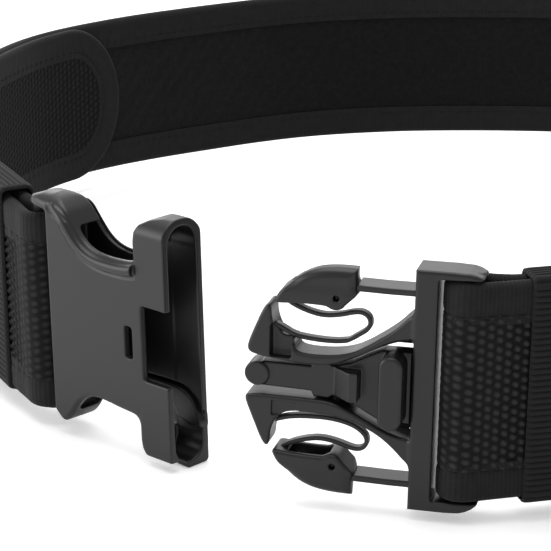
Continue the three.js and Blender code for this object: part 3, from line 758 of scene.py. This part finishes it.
def weave_look(shader, base):
    vector, run, z, fuzz = shader.cloth_inputs()
    # yarns run up each float, with a slight twist
    yarn = shader.wave(shader.total(run, (z, 0.35)), pitch=0.31)
    twist = shader.wave(shader.total(z, (run, -0.6)), pitch=0.55)
    detail = shader.total((yarn, 0.5), (twist, 0.3))
    # the float height sets the colour: painted shade in the gaps between floats, painted light on
    # the float tops
    level = shader.total((shader.height(), 0.74), (fuzz, 0.22), (shader.mottle(vector), 0.22))
    shader.colour(level, base, (0.16, 0.1), (0.5, 0.7), (0.97, 2.3))
    shader.bump(shader.total((detail, 0.5), (fuzz, 0.8)), strength=0.55, distance=0.00012)


def tape_look(shader, base):
    vector, run, z, fuzz = shader.cloth_inputs()
    rib = shader.wave(run, pitch=0.92)
    cross = shader.wave(shader.total(z, (run, 0.5)), pitch=0.75)
    level = shader.total((rib, 0.10), (fuzz, 0.45), (shader.mottle(vector), 0.5))
    shader.colour(level, base, (0.25, 0.6), (0.75, 1.5))
    shader.bump(shader.total((rib, 0.45), (cross, 0.25), (fuzz, 0.9)),
                strength=0.5, distance=0.00012)


def pile_look(shader, base):
    vector = shader.uv()
    broad = shader.noise(vector, scale=0.5, detail=5, roughness=0.7)
    fine = shader.noise(vector, scale=2.6, detail=4, roughness=0.75)
    shader.colour(shader.total((broad, 0.55), (fine, 0.45)), base,
                  (0.36, 0.25), (0.52, 1), (0.70, 2.9, (1, 0.97, 0.97)), tint=(1, 0.96, 0.96))
    shader.bump(shader.total(broad, fine), strength=0.8, distance=0.00035)


def elastic_look(shader, base):
    vector, run, _, fuzz = shader.cloth_inputs()
    along = shader.wave(run, pitch=0.85)
    # the rib height sets the colour: painted shade in the grooves between ribs, painted light on
    # the rib crests
    level = shader.total((shader.height(), 0.45), (along, 0.02), (fuzz, 0.3),
                         (shader.mottle(vector), 0.2))
    shader.colour(level, base, (0.1, 0.25), (0.5, 1), (0.95, 1.9))
    shader.bump(shader.total((along, 0.12), (fuzz, 0.6)), strength=0.5, distance=0.0001)


def thread_look(shader, base):
    _, run, z, fuzz = shader.cloth_inputs()
    twist = shader.wave(shader.total(run, (z, 1.2)), pitch=0.4)
    shader.colour(shader.total((twist, 0.2), (fuzz, 0.5), 0.2), base, (0.2, 0.6), (0.8, 1.6))
    shader.bump(twist, strength=0.5, distance=0.00005)


def cloth(name, look, base, sheen, roughness=0.85):
    """A fabric; base is its grey, sheen its sheen weight."""
    shader = Shader(name, Roughness=roughness, Sheen_Weight=sheen, Sheen_Roughness=0.45,
                    Specular_IOR_Level=0.2)
    look(shader, base)
    return shader.material


BLACK_PLASTIC = plastic("satin_black_plastic")
# One webbing in three greys: lighter on the right strap, darker on the left strap and the tongue
# ends, painted light and shade between copies
RIGHT.weave = cloth("honeycomb_weave", weave_look, base=0.0118, sheen=0.06)
LEFT.weave = cloth("honeycomb_weave_left", weave_look, base=0.0078, sheen=0.04)
TAPE = cloth("edge_tape", tape_look, base=0.0098, sheen=0.05)
WEAVE_END = cloth("honeycomb_weave_end", weave_look, base=0.0085, sheen=0.04)
PILE = cloth("brushed_loop", pile_look, base=0.0045, sheen=0.08, roughness=0.95)
ELASTIC = cloth("ribbed_elastic", elastic_look, base=0.0085, sheen=0.05)
THREAD = cloth("thread", thread_look, base=0.004, sheen=0.0, roughness=0.75)
HOOK = cloth("hook_tape", pile_look, base=0.009, sheen=0.0, roughness=0.7)
STIFFENER = plastic("stiffener_sheet", base=0.02, roughness=0.55)


# ---------------------------------------------------------------- straps
EDGE_STEP = 0.75


def build_main_run(side, strap, split):
    """From the rear middle, round the bar and along the tongue to the split."""
    name = side.name
    rear_tongue = ["left_tongue_rear"] if side is LEFT else []
    weave = dress(woven_band(strap, f"{name}_woven_strap", 0.0, split), side.weave, "weave",
                  f"{name}_outer_panel", "rear_outer_panel", f"{name}_tongue", *rear_tongue)
    lining = soft_sheet(strap, f"{name}_loop_face", 0.0, strap.belt_end - 1.0,
                        lower=-BELT_HALF + 0.62, upper=-BELT_HALF + 1.5, edge=WEAVE_INSET,
                        bumps=0.10)
    dress(lining, PILE, "loop", f"{name}_loop_lining", "rear_loop_lining")
    core = soft_sheet(strap, f"{name}_stiffener_sheet", 0.0, strap.belt_end - 3.0,
                      lower=-0.55, upper=0.55, edge=2.2)
    dress(core, STIFFENER, "core", f"{name}_stiffener", "rear_stiffener")
    pieces = [weave, lining, core]
    run = np.linspace(0, split, int(split / EDGE_STEP) + 1)
    level = np.ones(len(run))
    for edge, z, inward in (("top", TOP, -1), ("bottom", BOTTOM, 1)):
        tape = edging(strap, f"{name}_{edge}_edging", run, z * level, 0 * level, inward * level)
        dress(tape, TAPE, "binding", f"{name}_{edge}_binding", f"rear_{edge}_binding")
        pieces.append(tape)
    rows = []
    for place in np.arange(1.5, split - 1.5, STITCH_PITCH):
        for z in (TOP - STITCH_INSET, BOTTOM + STITCH_INSET):
            rows.append((place, z, 1.0, 0.0, 1))
            if place < strap.belt_end - 4:
                rows.append((place, z, 1.0, 0.0, -1))
    pieces.append(dress(stitching(strap, f"{name}_stitching", rows), THREAD, "binding"))
    # points either side of the side bending line are worked out but not used, and each piece's
    # transform is baked into its mesh
    near, far = belt_point(side.flex + np.array([-7.0, 7.0]))
    for piece in pieces:
        frame_point(*near)
        frame_point(*far)
        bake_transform(piece)


def build_tongue_end(side, strap, split):
    """The tongue's peeling end, with a rounded tip."""
    name = side.name
    length = strap.length
    replaced = f"{name}_tongue_end"
    weave = woven_band(strap, f"{name}_tongue_end_web", split, length - 5.5, flat=True)
    dress(weave, WEAVE_END, "tongue", replaced)
    # the edge: along the top, round the tip and back along the bottom
    straight = length - TIP_RADIUS
    run = np.linspace(split, straight, max(8, int((straight - split) / EDGE_STEP)))
    angle = np.linspace(math.pi / 2, -math.pi / 2, 60)
    level = np.ones(len(run) - 1)
    edge_run = np.concatenate([run[:-1], straight + TIP_RADIUS * np.cos(angle), run[::-1][1:]])
    edge_z = np.concatenate([TOP * level, MID + WIDTH / 2 * np.sin(angle), BOTTOM * level])
    slope_run, slope_z = np.gradient(edge_run), np.gradient(edge_z)
    norm = np.hypot(slope_run, slope_z)
    in_run, in_z = slope_z / norm, -slope_run / norm
    tape = edging(strap, f"{name}_tongue_end_edging", edge_run, edge_z, in_run, in_z)
    dress(tape, TAPE, "binding", replaced)
    hook = soft_sheet(strap, f"{name}_hook_patch", split + 6, length - 8,
                      lower=-TONGUE_HALF - 0.05, upper=-TONGUE_HALF + 0.7, edge=8.0,
                      bumps=0.04, tip_inset=8.0)
    dress(hook, HOOK, "hook", f"{name}_hook_tape")
    distance = np.r_[0, np.cumsum(np.hypot(np.diff(edge_run), np.diff(edge_z)))]
    rows = []
    for place in np.arange(1.5, distance[-1] - 1.5, STITCH_PITCH):
        here_run, here_z, into_run, into_z = (
            np.interp(place, distance, values) for values in (edge_run, edge_z, in_run, in_z))
        norm = math.hypot(into_run, into_z)
        into_run, into_z = into_run / norm, into_z / norm
        rows.append((here_run + into_run * STITCH_INSET, here_z + into_z * STITCH_INSET,
                     -into_z, into_run, 1))
    thread = dress(stitching(strap, f"{name}_tongue_end_stitching", rows), THREAD, "binding")
    near, far = belt_point(side.peel + side.step * np.array([-4.0, 4.0]), TONGUE_OUT)
    for piece in (weave, tape, hook, thread):
        frame_point(*near)
        frame_point(*far)
        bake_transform(piece)


def build_side(side):
    strap = Strap(side)
    # the split is looked for beyond the turn only, since the belt itself may lie nearer
    beyond = strap.station > strap.belt_end + 20
    target = belt_point(np.array([side.peel - side.step * 14.0]), TONGUE_OUT)[0]
    nearest = np.argmin(np.hypot(*(strap.line[beyond] - target).T))
    split = float(strap.station[beyond][nearest])
    build_main_run(side, strap, split)
    build_tongue_end(side, strap, split)


build_side(LEFT)
build_side(RIGHT)


# ---------------------------------------------------------------- keepers
def keeper(side):
    """A ribbed elastic loop round the belt and its tongue."""
    length, thickness, corner, rib_pitch = 38.0, 0.85, 1.3, 1.35
    inner_face = -(BELT_HALF + 0.1 + 2 * TONGUE_HALF) - 0.06
    outer_face = BELT_HALF + 0.06
    centre = (inner_face + outer_face) / 2
    half_out, half_z = (outer_face - inner_face) / 2, WIDTH / 2 + 0.08
    # the loop's section: a rounded rectangle, as (out, z)
    section = []
    for sign_out, sign_z, first in ((1, 1, 0), (-1, 1, 90), (-1, -1, 180), (1, -1, 270)):
        for i in range(13):
            angle = math.radians(first + 90 * i / 12)
            section.append((sign_out * (half_out - corner) + corner * math.cos(angle),
                            sign_z * (half_z - corner) + corner * math.sin(angle)))
    section = np.array(section + [section[0]])
    lengths = Strap.lengths(section)
    girth = lengths[-1]
    pitch = girth / round(girth / rib_pitch)
    count = int(round(girth / pitch)) * 8
    around = np.arange(count) * girth / count
    out, z = (np.interp(around, lengths, section[:, k]) for k in (0, 1))
    slope_out, slope_z = np.roll(out, -1) - np.roll(out, 1), np.roll(z, -1) - np.roll(z, 1)
    norm = np.hypot(slope_out, slope_z)
    normal_out, normal_z = slope_z / norm, -slope_out / norm
    stations = np.linspace(0, length, int(length / (0.32)))
    edge = np.minimum(stations, length - stations)
    rim = (1 - np.clip(edge / (thickness * 0.62), 0, 1)) ** 2
    rim = thickness * np.sqrt(np.clip(1 - rim, 0.02, 1))
    run, turn = np.meshgrid(stations, around, indexing="ij")
    rib = np.abs(np.cos(math.pi * turn / pitch)) ** 0.8
    odd = np.mod(np.floor(turn / pitch + 0.5), 2)
    cell = 0.5 + 0.5 * np.cos(2 * math.pi * (run / 0.9 + 0.5 * odd))
    height = 0.96 * rib + 0.04 * rib * cell
    crown = 0.22 * np.sin(math.pi * run / length) * (np.abs(z)[None] < half_z - 1.0)
    lift = (rim[:, None]
            + (0.44 * height - 0.22) * np.clip(edge / 1.2, 0.25, 1)[:, None] + crown)

    def skin(lift):
        away = side.meet + side.keeper_gap + run
        shift = side.radius + centre + (out + normal_out * lift)
        return np.stack([side.bar[0] + side.along[0] * away + side.out[0] * shift,
                         side.bar[1] + side.along[1] * away + side.out[1] * shift,
                         MID + (z + normal_z * lift)], -1)

    # out along the outside, back along the inside
    points = np.concatenate([skin(lift), skin(0 * lift)[::-1]], 0)
    uv = np.stack([run, turn], -1)
    uv = np.concatenate([uv, uv[::-1]], 0)
    # the rib height is also the colour's height, which paints shade in the grooves between ribs and
    # light on the crests
    height = np.concatenate([height, np.zeros_like(height)], 0)
    piece = mesh_object(f"{side.name}_elastic_keeper", points.reshape(-1, 3),
                        grid_quads(*height.shape, wrap_rows=True), uv.reshape(-1, 2),
                        height.reshape(-1))
    dress(piece, ELASTIC, "elastic", f"{side.name}_keeper")
    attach(piece, f"{side.name}_keeper_band")


keeper(LEFT)
keeper(RIGHT)

# ---------------------------------------------------------------- socket
SOCKET_HALF_Y, SOCKET_HALF_Z = 30.0, 6.15
# Outlines seen from the front: x, y. The mouth is at x = 0.
UPPER_SCOOP = open_curve([
    (-10.3, 18.2), (-12.5, 17.7), (-17.0, 17.4), (-21.8, 17.5), (-25.6, 18.6), (-28.4, 20.9),
    (-30.6, 24.0), (-32.6, 26.7), (-35.4, 28.4), (-39.2, 29.1)])
UPPER_SCOOP[:, 1] += np.clip((27.5 - UPPER_SCOOP[:, 1]) / 6.0, 0, 1) * 0.9
LOWER_SCOOP = open_curve([
    (-10.3, -18.7), (-12.5, -18.4), (-17.0, -18.1), (-21.8, -17.6), (-26.0, -17.5),
    (-29.4, -19.0), (-32.0, -21.7), (-34.0, -24.7), (-36.4, -26.7), (-39.0, -27.4)])
SOCKET_BODY = np.vstack([
    [(1.5, -17), (-9.0, -17)], LOWER_SCOOP,
    [(-41.5, -27.4), (-44.5, -27.1), (-48.0, -26.9), (-49.5, -25.0),
     (-48.9, 24.0), (-47.6, 26.3), (-45.4, 27.9), (-42.4, 28.9)],
    UPPER_SCOOP[::-1], [(-9.0, 17), (1.5, 17)]])
FLANGE = mirrored([(1.5, 30.0), (-3.5, 29.8), (-6.5, 29.1), (-8.6, 27.9), (-9.9, 26.1),
                   (-10.3, 24.0), (-10.3, 17.0)])
# guide groove in the lower half of the mouth: x, |y|
GUIDE = open_curve([(-19, 12.4), (-7.2, 12.4), (-4.2, 13.1), (-1.8, 14.9), (-0.7, 17.2),
                    (0.6, 20.0)])
GUIDE_FLOOR = np.vstack([GUIDE, [(2.0, 21.0), (-4, 21.2), (-7.6, 20.0), (-9.0, 17.5),
                                 (-19, 17.5)]])
# Lengthwise sections: x, z, at the middle and near the upper and lower ends
MIDDLE_SECTION = round_corners([
    (8, -9.0), (8, 8.2), (-36.0, 8.2), (-41.5, 6.2), (-45.2, 5.3), (-48.0, 4.0), (-50.6, 2.2),
    (-50.6, -3.0), (-46, -4.2), (-28, -4.3), (-7, -7.0)], keep=(0, 1))
END_SECTION = round_corners([
    (8, -9.0), (8, 8.2), (-36.0, 8.2), (-41.2, 6.4), (-44.8, 5.1), (-47.4, 3.4), (-49.2, 1.0),
    (-48.6, -1.4), (-46.2, -3.2), (-42, -4.2), (-28, -4.3), (-7, -7.0)], keep=(0, 1))
POCKET_SECTION = round_corners([
    (6, -4.4), (6, 4.4), (-34.0, 4.4), (-34.5, 3.6), (-34.5, -2.2), (-33.5, -2.7), (-28, -2.7),
    (-12, -4.4)], keep=(0, 1))


def socket_plate(x, y, z, body):
    """The flat body, with its shoulders rounded over."""
    section = ease((np.abs(y) - 22.0) / 6.0)
    section = ((1 - section) * polygon_distance(MIDDLE_SECTION, x, z)
               + section * polygon_distance(END_SECTION, x, z))
    back_inset = (np.clip((-z - 3.0) / 1.4, 0, 1) * np.clip((x + 38.0) / 6.0, 0, 1)
                  * np.where(y > 0, 1.0, 2.2))
    plate = slab(body + back_inset, z, SOCKET_HALF_Z, 1.1)
    plate = overlap(plate, section, 0.9)
    shoulder = ease((-x - 21.0) / 8.0)
    dome = stadium(y, z - 0.95, 29.3, 6.6, 6.5)
    return overlap(plate, dome - (1 - shoulder) * 5.0, 0.7)


def rim_upper_scoop(plate, x, y, z, body):
    """A raised rim along the upper scoop, with a fine groove beside it."""
    depth = line_distance(UPPER_SCOOP[:-3], x, y)
    depth = np.where(body < 0, depth, -depth)
    fade = np.clip((27.6 - np.abs(y)) / 3.5, 0, 1) ** 0.6
    near = np.abs(y - 22) < 12
    lift = SOCKET_HALF_Z - 0.25 - 0.5 * (1 - fade)
    rim = np.where(near, rod(depth - 2.15, z - lift, 1.45 * fade), 6.0)
    rim = np.maximum(rim, x + 10.0)
    plate = union(plate, rim + 4.0 * (fade <= 0), 0.4)
    groove = np.where(near, rod(depth - 3.75, z - SOCKET_HALF_Z - 0.12, 0.42), 6.0)
    return cut(plate, groove + 4.0 * (fade <= 0.15), 0.3)


def hollow_socket(shell, x, y, z):
    """The mouth, a flat pocket open to the scoops, and the guide in the mouth's lower half."""
    height = np.abs(y)
    mouth = overlap(stadium(y, z, SOCKET_HALF_Y - 1.8, 4.4, 4.1), -8.4 - x, 0.8)
    pocket = overlap(polygon_distance(POCKET_SECTION, x, z), height - 23.2, 1.6)
    shell = cut(shell, mouth, 0.3)
    shell = cut(shell, pocket, 0.3)
    pad = overlap(polygon_distance(GUIDE_FLOOR, x, height), np.abs(z + 4.9) - 1.35, 0.6)
    shell = union(shell, pad + 5.0 * (y > 0), 0.6)
    groove = overlap(line_distance(GUIDE, x, height) - 0.42, np.abs(z + 3.9) - 1.4, 0.2)
    return cut(shell, groove + 5.0 * (y > 0), 0.2)


def add_strap_bar(shell, x, y, z):
    """The strap slot, the cut-back lower cheek and corner, and the bar."""
    shell = cut(shell, box(x, y, z, (-62.0, -39.6), (-26.3, 25.5), (-12, 12), 1.0), 0.9)
    cheek = np.maximum(np.maximum(0.8 - z, x + 40.3), y + 24.0)
    shell = cut(shell, cheek, 0.5)
    corner = np.maximum(0.8 - z, y + 27.5 - 0.6 * np.clip(-x - 34.7, 0, 9) ** 1.16)
    shell = cut(shell, corner, 0.6)
    bar = overlap(rod(x + 46.8, z, 2.4), np.maximum(y - 26.2, -y - 26.7), 0.3)
    return union(shell, bar, 0.4)


def socket_field(x, y, z):
    body = polygon_distance(SOCKET_BODY, x, y)
    flange_outline = polygon_distance(FLANGE, x, y)
    plate = rim_upper_scoop(socket_plate(x, y, z, body), x, y, z, body)
    flange = slab(flange_outline, z, SOCKET_HALF_Z, 1.2)
    flange = overlap(flange, stadium(y, z, SOCKET_HALF_Y, SOCKET_HALF_Z + 0.5, 6.3), 0.35)
    shell = np.minimum(flange, plate)
    # a fillet where the lower scoop meets the flange
    web = slab(union(body, flange_outline, 2.6), z, SOCKET_HALF_Z - 0.05, 1.1)
    shell = np.minimum(shell, np.maximum(np.maximum(web, -12.4 - x), y + 16.0))
    # a crease between the upper shoulder and the back wall
    crease = np.maximum(np.maximum(np.abs(z + 3.1) - 0.55, -(body + 1.5)),
                        np.maximum(x + 12.0, -38.5 - x))
    shell = cut(shell, np.maximum(crease, 16.0 - y), 0.15)
    shell = add_strap_bar(hollow_socket(shell, x, y, z), x, y, z)
    # latch window and pad notch in the front wall
    shell = cut(shell, box(x, y, z, (-13.8, -11.3), (-4.7, 3.1), (1.0, 12), 0.8), 0.3)
    shell = cut(shell, box(x, y, z, (-8.1, 6.0), (-9.0, 9.0), (1.0, 12), 0.9), 0.45)
    # flat mouth face
    return overlap(shell, x, 0.35)


socket = moulded("socket_shell", socket_field, (-51, -30.5, -6.6), (0.2, 30.5, 8), SOCKET, 0.25)
dress(socket, BLACK_PLASTIC, "plastic", "socket_housing")
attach(socket, "socket")

# ---------------------------------------------------------------- plug
PLUG_HALF_Y, PLUG_HALF_Z = 27.45, 4.4
# Outlines seen from the front: x, y for the frame and x, |y| for the arms
PLUG_FRAME = round_corners(mirrored([
    (0, -PLUG_HALF_Y), (10.8, -PLUG_HALF_Y), (13.4, -PLUG_HALF_Y + 0.7),
    (15.4, -PLUG_HALF_Y + 2.1), (16.6, -PLUG_HALF_Y + 4.4)]), passes=1, keep=(0, 9))
LOWER_ARM = round_corners([
    (2, 18.9), (-1.2, 16.6), (-4, 13.6), (-7, 11.3), (-10.5, 9.5), (-14, 8.3), (-19, 7.7),
    (-25.5, 7.6), (-29.3, 8.6), (-31.2, 12.2), (-31.5, 15.9), (-32.2, 16.6), (-33.3, 15.3),
    (-35.0, 11.2), (-36.9, 6.6), (-37.1, 5.2), (-36.2, 4.55), (-22.5, 4.4), (-18, 4.5),
    (-14, 5.9), (-10, 8.0), (-6.6, 9.6), (-3, 10.9), (2, 11.8)])
UPPER_ARM = round_corners([
    (2, 18.9), (-1.2, 16.6), (-4, 13.6), (-7, 11.3), (-10.5, 8.8), (-14, 6.9), (-19, 5.9),
    (-25.6, 5.9), (-26.4, 7.9), (-29.3, 8.6), (-31.2, 12.2), (-31.5, 15.9), (-32.2, 16.6),
    (-33.3, 15.3), (-35.0, 11.2), (-36.7, 6.8), (-36.6, 5.4), (-35.4, 4.6), (-30.5, 3.9),
    (-22.5, 3.5), (-18, 3.9), (-14, 5.4), (-10, 7.6), (-6.6, 9.5), (-3, 10.9), (2, 11.8)])
# the frame's section falls away towards the strap: x, z
PLUG_SECTION = [(-2, -PLUG_HALF_Z), (-2, PLUG_HALF_Z), (10.5, PLUG_HALF_Z), (14.0, 3.7),
                (18, 1.6), (18, -3.6), (12, -PLUG_HALF_Z)]
BUTTON = round_corners([
    (-12.2, 20.6), (-12.2, 26.4), (-15.5, 26.5), (-19, 26.3), (-22.3, 25.7), (-25.6, 24.2),
    (-28.4, 21.5), (-30.9, 17.6), (-30.2, 16.9), (-25.6, 17.4), (-20.0, 17.4), (-19.0, 17.2),
    (-18.4, 16.8), (-17.2, 16.5), (-15.8, 16.9), (-14.8, 18.2)], keep=(0, 1))
HAIRPIN = open_curve([
    (-31.2, 11.2), (-28.9, 10.4), (-27, 9.9), (-24, 9.5), (-20, 9.3), (-16.5, 9.5),
    (-13.2, 10.3), (-10.9, 11.7), (-9.9, 13.3), (-10.3, 14.9), (-11.6, 15.8), (-13.4, 15.8),
    (-16.8, 14.7), (-20.5, 14.2), (-24, 14.9), (-27.2, 16.1), (-29.0, 17.4)])
LATCH = mirrored([(-22.5, 2.9), (-21.9, 4.1), (-18.6, 4.2), (-17.6, 3.4), (-13.6, 4.6),
                  (-9.6, 6.8), (-6.8, 8.2), (-0.3, 8.2)]) + [(-33.5, -2.8), (-33.5, 2.8)]


def plug_field(x, y, z):
    height = np.abs(y)
    body = overlap(slab(polygon_distance(PLUG_FRAME, x, y), z, PLUG_HALF_Z, 0.9),
                   polygon_distance(PLUG_SECTION, x, z), 1.0)
    body = cut(body, box(x, y, z, (5.0, 40.0), (-25.0, 25.6), (-12, 12), 0.8), 0.7)
    bar = overlap(rod(x - 12.1, z + 1.4, 2.15), height - 26.5, 0.4)
    body = union(body, bar, 0.6)
    arm = slab(np.where(y > 0, polygon_distance(UPPER_ARM, x, height),
                        polygon_distance(LOWER_ARM, x, height)), z, 3.6, 0.75)
    # a web fills the corner behind the upper barb, and its front is recessed
    arm = union(arm, box(x, y, z, (-31.2, -26.4), (5.5, 8.9), (-3.3, 2.6), 0.4), 0.5)
    arm = cut(arm, box(x, y, z, (-31.6, -26.8), (4.4, 12.0), (1.0, 9.0), 0.6), 0.3)
    arm = cut(arm, box(x, y, z, (-31.0, -25.0), (-9.0, -5.6), (2.9, 9.0), 0.3), 0.3)
    body = union(body, arm, 1.1)
    # a thin lip behind the latch, solid on the lower side only
    lip = box(x, height, z, (-21.5, -11.8), (2.6, 5.6), (-3.55, -3.1), 0.15)
    body = np.minimum(body, np.maximum(lip, np.where(y > 0, 0.0, -9.0)))
    # webs behind the roots of the arms
    return union(body, box(x, height, z, (-5.0, 1.0), (8.4, 11.2), (-4.3, -3.2), 0.3), 0.3)


def button_field(x, y, z):
    half, over_radius = 4.2, 2.6
    outline = polygon_distance(BUTTON, x, y) + 0.17 * (half - z) * np.clip((y - 19.5) / 4.0, 0, 1)
    # rounded well over along the outer edge
    over = rounded(outline, np.abs(z + 0.1) - 4.1, radius=over_radius)
    outer = ease((y - 19.5) / 3.0)
    body = (1 - outer) * slab(outline, z, half, 0.9) + outer * over
    # a small round dimple in the front
    body = cut(body, np.maximum(rod(x + 17.0, y - 19.4, 0.75), 2.4 - z), 0.15)
    # hollowed from the inner side
    return cut(body, box(x, y, z, (-27.2, -18.0), (0, 23.0), (-2.6, 2.6), 0.8), 0.4)


def hairpin_field(x, y, z):
    return slab(line_distance(HAIRPIN, x, y) - 0.5, z, 1.1, 0.3)


def upper_hairpin_field(x, y, z):
    """The upper hairpin's inner leg lies a little nearer the middle."""
    shift = (0.8 * np.clip((12.0 - y) / 2.0, 0, 1) * np.clip((x + 31.0) / 5.0, 0, 1)
             * np.clip((-12.0 - x) / 3.0, 0, 1))
    return hairpin_field(x, y + shift, z)


def leaf_field(x, y, z):
    return box(x, y, z, (-12.9, 0.6), (21.2, 22.6), (-3.2, 3.2), 0.35)


def latch_field(x, y, z):
    body = slab(polygon_distance(LATCH, x, y), z, 2.15, 0.5, centre=0.25)
    head = overlap(rod(x + 34.6, y, 2.75), np.abs(z) - 3.05, 0.5)
    body = union(body, head, 0.5)
    pad = rod(x + 4.1, np.maximum(np.abs(y) - 5.8, 0), 2.65)
    body = union(body, slab(pad, z, 3.65, 0.8, centre=3.65), 0.5)
    # hook: a ramp up to a locking face
    slope = np.minimum(5.8, 2.2 + (x + 17.6) * 3.6 / 4.2)
    ramp = overlap(np.maximum(x + 11.5, -17.8 - x), z - slope, 0.3)
    ramp = overlap(ramp, np.maximum(np.abs(y) - 3.3, -z - 0.5), 0.3)
    return union(body, ramp, 0.3)


def side_piece(name, replaced, field, low, high, step, sign):
    """A plug piece given for the upper side, mirrored below when sign is -1."""
    y_low, y_high = sorted((sign * low[1], sign * high[1]))
    piece = moulded(name, lambda x, y, z: field(x, y * sign, z),
                    (low[0], y_low, low[2]), (high[0], y_high, high[2]), PLUG, step)
    return dress(piece, BLACK_PLASTIC, "plastic", replaced)


def plug_point(x, y):
    return frame_point(*to_plan(np.array([[x, y, 0.0]]), PLUG)[0])


plug = moulded("plug_body", plug_field, (-38, -28.0, -4.8), (17.2, 28.0, 4.8), PLUG, 0.24)
dress(plug, BLACK_PLASTIC, "plastic", "plug_frame")
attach(plug, "plug")

for label, sign, pin_field in (("upper", 1, upper_hairpin_field), ("lower", -1, hairpin_field)):
    button = side_piece(f"{label}_side_button", f"{label}_release_button", button_field,
                        (-31.5, 15.5, -4.6), (-11.9, 27.0, 4.6), 0.24, sign)
    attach(button, f"{label}_button")
    hairpin = side_piece(f"{label}_hairpin", f"{label}_hairpin_spring", pin_field,
                         (-32.2, 7.4, -1.6), (-9.0, 18.3, 1.6), 0.2, sign)
    plug_point(-20, sign * 9.6)
    plug_point(-20, sign * 16.2)
    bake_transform(hairpin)
    leaf = side_piece(f"{label}_leaf", f"{label}_leaf_spring", leaf_field,
                      (-13.1, 20.8, -3.4), (0.8, 22.9, 3.4), 0.22, sign)
    plug_point(-0.6, sign * 21.9)
    plug_point(-11.6, sign * 21.9)
    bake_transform(leaf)

latch = moulded("latch_rocker", latch_field, (-38, -8.6, -3.6), (-0.4, 8.6, 7.6), PLUG, 0.2)
dress(latch, BLACK_PLASTIC, "plastic", "centre_latch")
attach(latch, "latch")


# ---------------------------------------------------------------- floor, light, camera (metres)
def build_floor(reach=6):
    mesh = bpy.data.meshes.new("floor")
    corners = [(-reach, -reach, 0), (reach, -reach, 0), (reach, reach, 0), (-reach, reach, 0)]
    mesh.from_pydata(corners, [], [(0, 1, 2, 3)])
    floor = bpy.data.objects.new("floor", mesh)
    bpy.context.scene.collection.objects.link(floor)
    shader = Shader("pale_floor", Base_Color=(0.93, 0.93, 0.93, 1), Roughness=0.6,
                    Specular_IOR_Level=0.2, Emission_Color=(1, 1, 1, 1))
    # a slight glow that only the camera sees
    camera_ray = shader.node("LightPath").outputs["Is Camera Ray"]
    shader.set("Emission Strength", shader.total((camera_ray, 0.27)))
    mesh.materials.append(shader.material)


def area_light(name, location, target, size, power, size_y=None):
    light = bpy.data.lights.new(name, "AREA")
    light.energy = power
    light.size = size
    if size_y:
        light.shape = "RECTANGLE"
        light.size_y = size_y
    lamp = bpy.data.objects.new(name, light)
    lamp.location = location
    aim = Vector(target) - Vector(location)
    lamp.rotation_euler = aim.to_track_quat("-Z", "Y").to_euler()
    bpy.context.scene.collection.objects.link(lamp)


build_floor()

scene = bpy.context.scene
world = bpy.data.worlds.new("studio") if scene.world is None else scene.world
scene.world = world
world.use_nodes = True
nodes = world.node_tree.nodes
background = nodes.get("Background") or nodes.new("ShaderNodeBackground")
background.inputs[0].default_value = (1, 1, 1, 1)
background.inputs[1].default_value = 0.62   # strength

area_light("top_soft", (-0.15, 0.1, 1.4), target=(0, 0, 0), size=1.3, power=15)
area_light("back_left", (-0.85, 1.5, 0.62), target=(0, 0, 0.1), size=1.3, power=9.4, size_y=0.95)
area_light("back_right", (0.3, 1.5, 0.62), target=(0, 0, 0.1), size=1.0, power=3.4, size_y=0.95)
area_light("left_wall", (-1.35, -0.25, 0.42), target=(-0.1, -0.1, 0.05), size=1.2, power=10.2,
           size_y=0.8)

camera_data = bpy.data.cameras.new("camera")
camera_data.lens = 147.479782
camera_data.sensor_width = 36
camera_data.clip_start = 0.01
camera = bpy.data.objects.new("camera", camera_data)
camera.location = frame_point(-59.847, -620.259, 201.747)
camera.rotation_euler = (math.radians(90 - 17.809), 0, math.radians(1.082))
scene.collection.objects.link(camera)
scene.camera = camera
scene.view_settings.view_transform = "Standard"
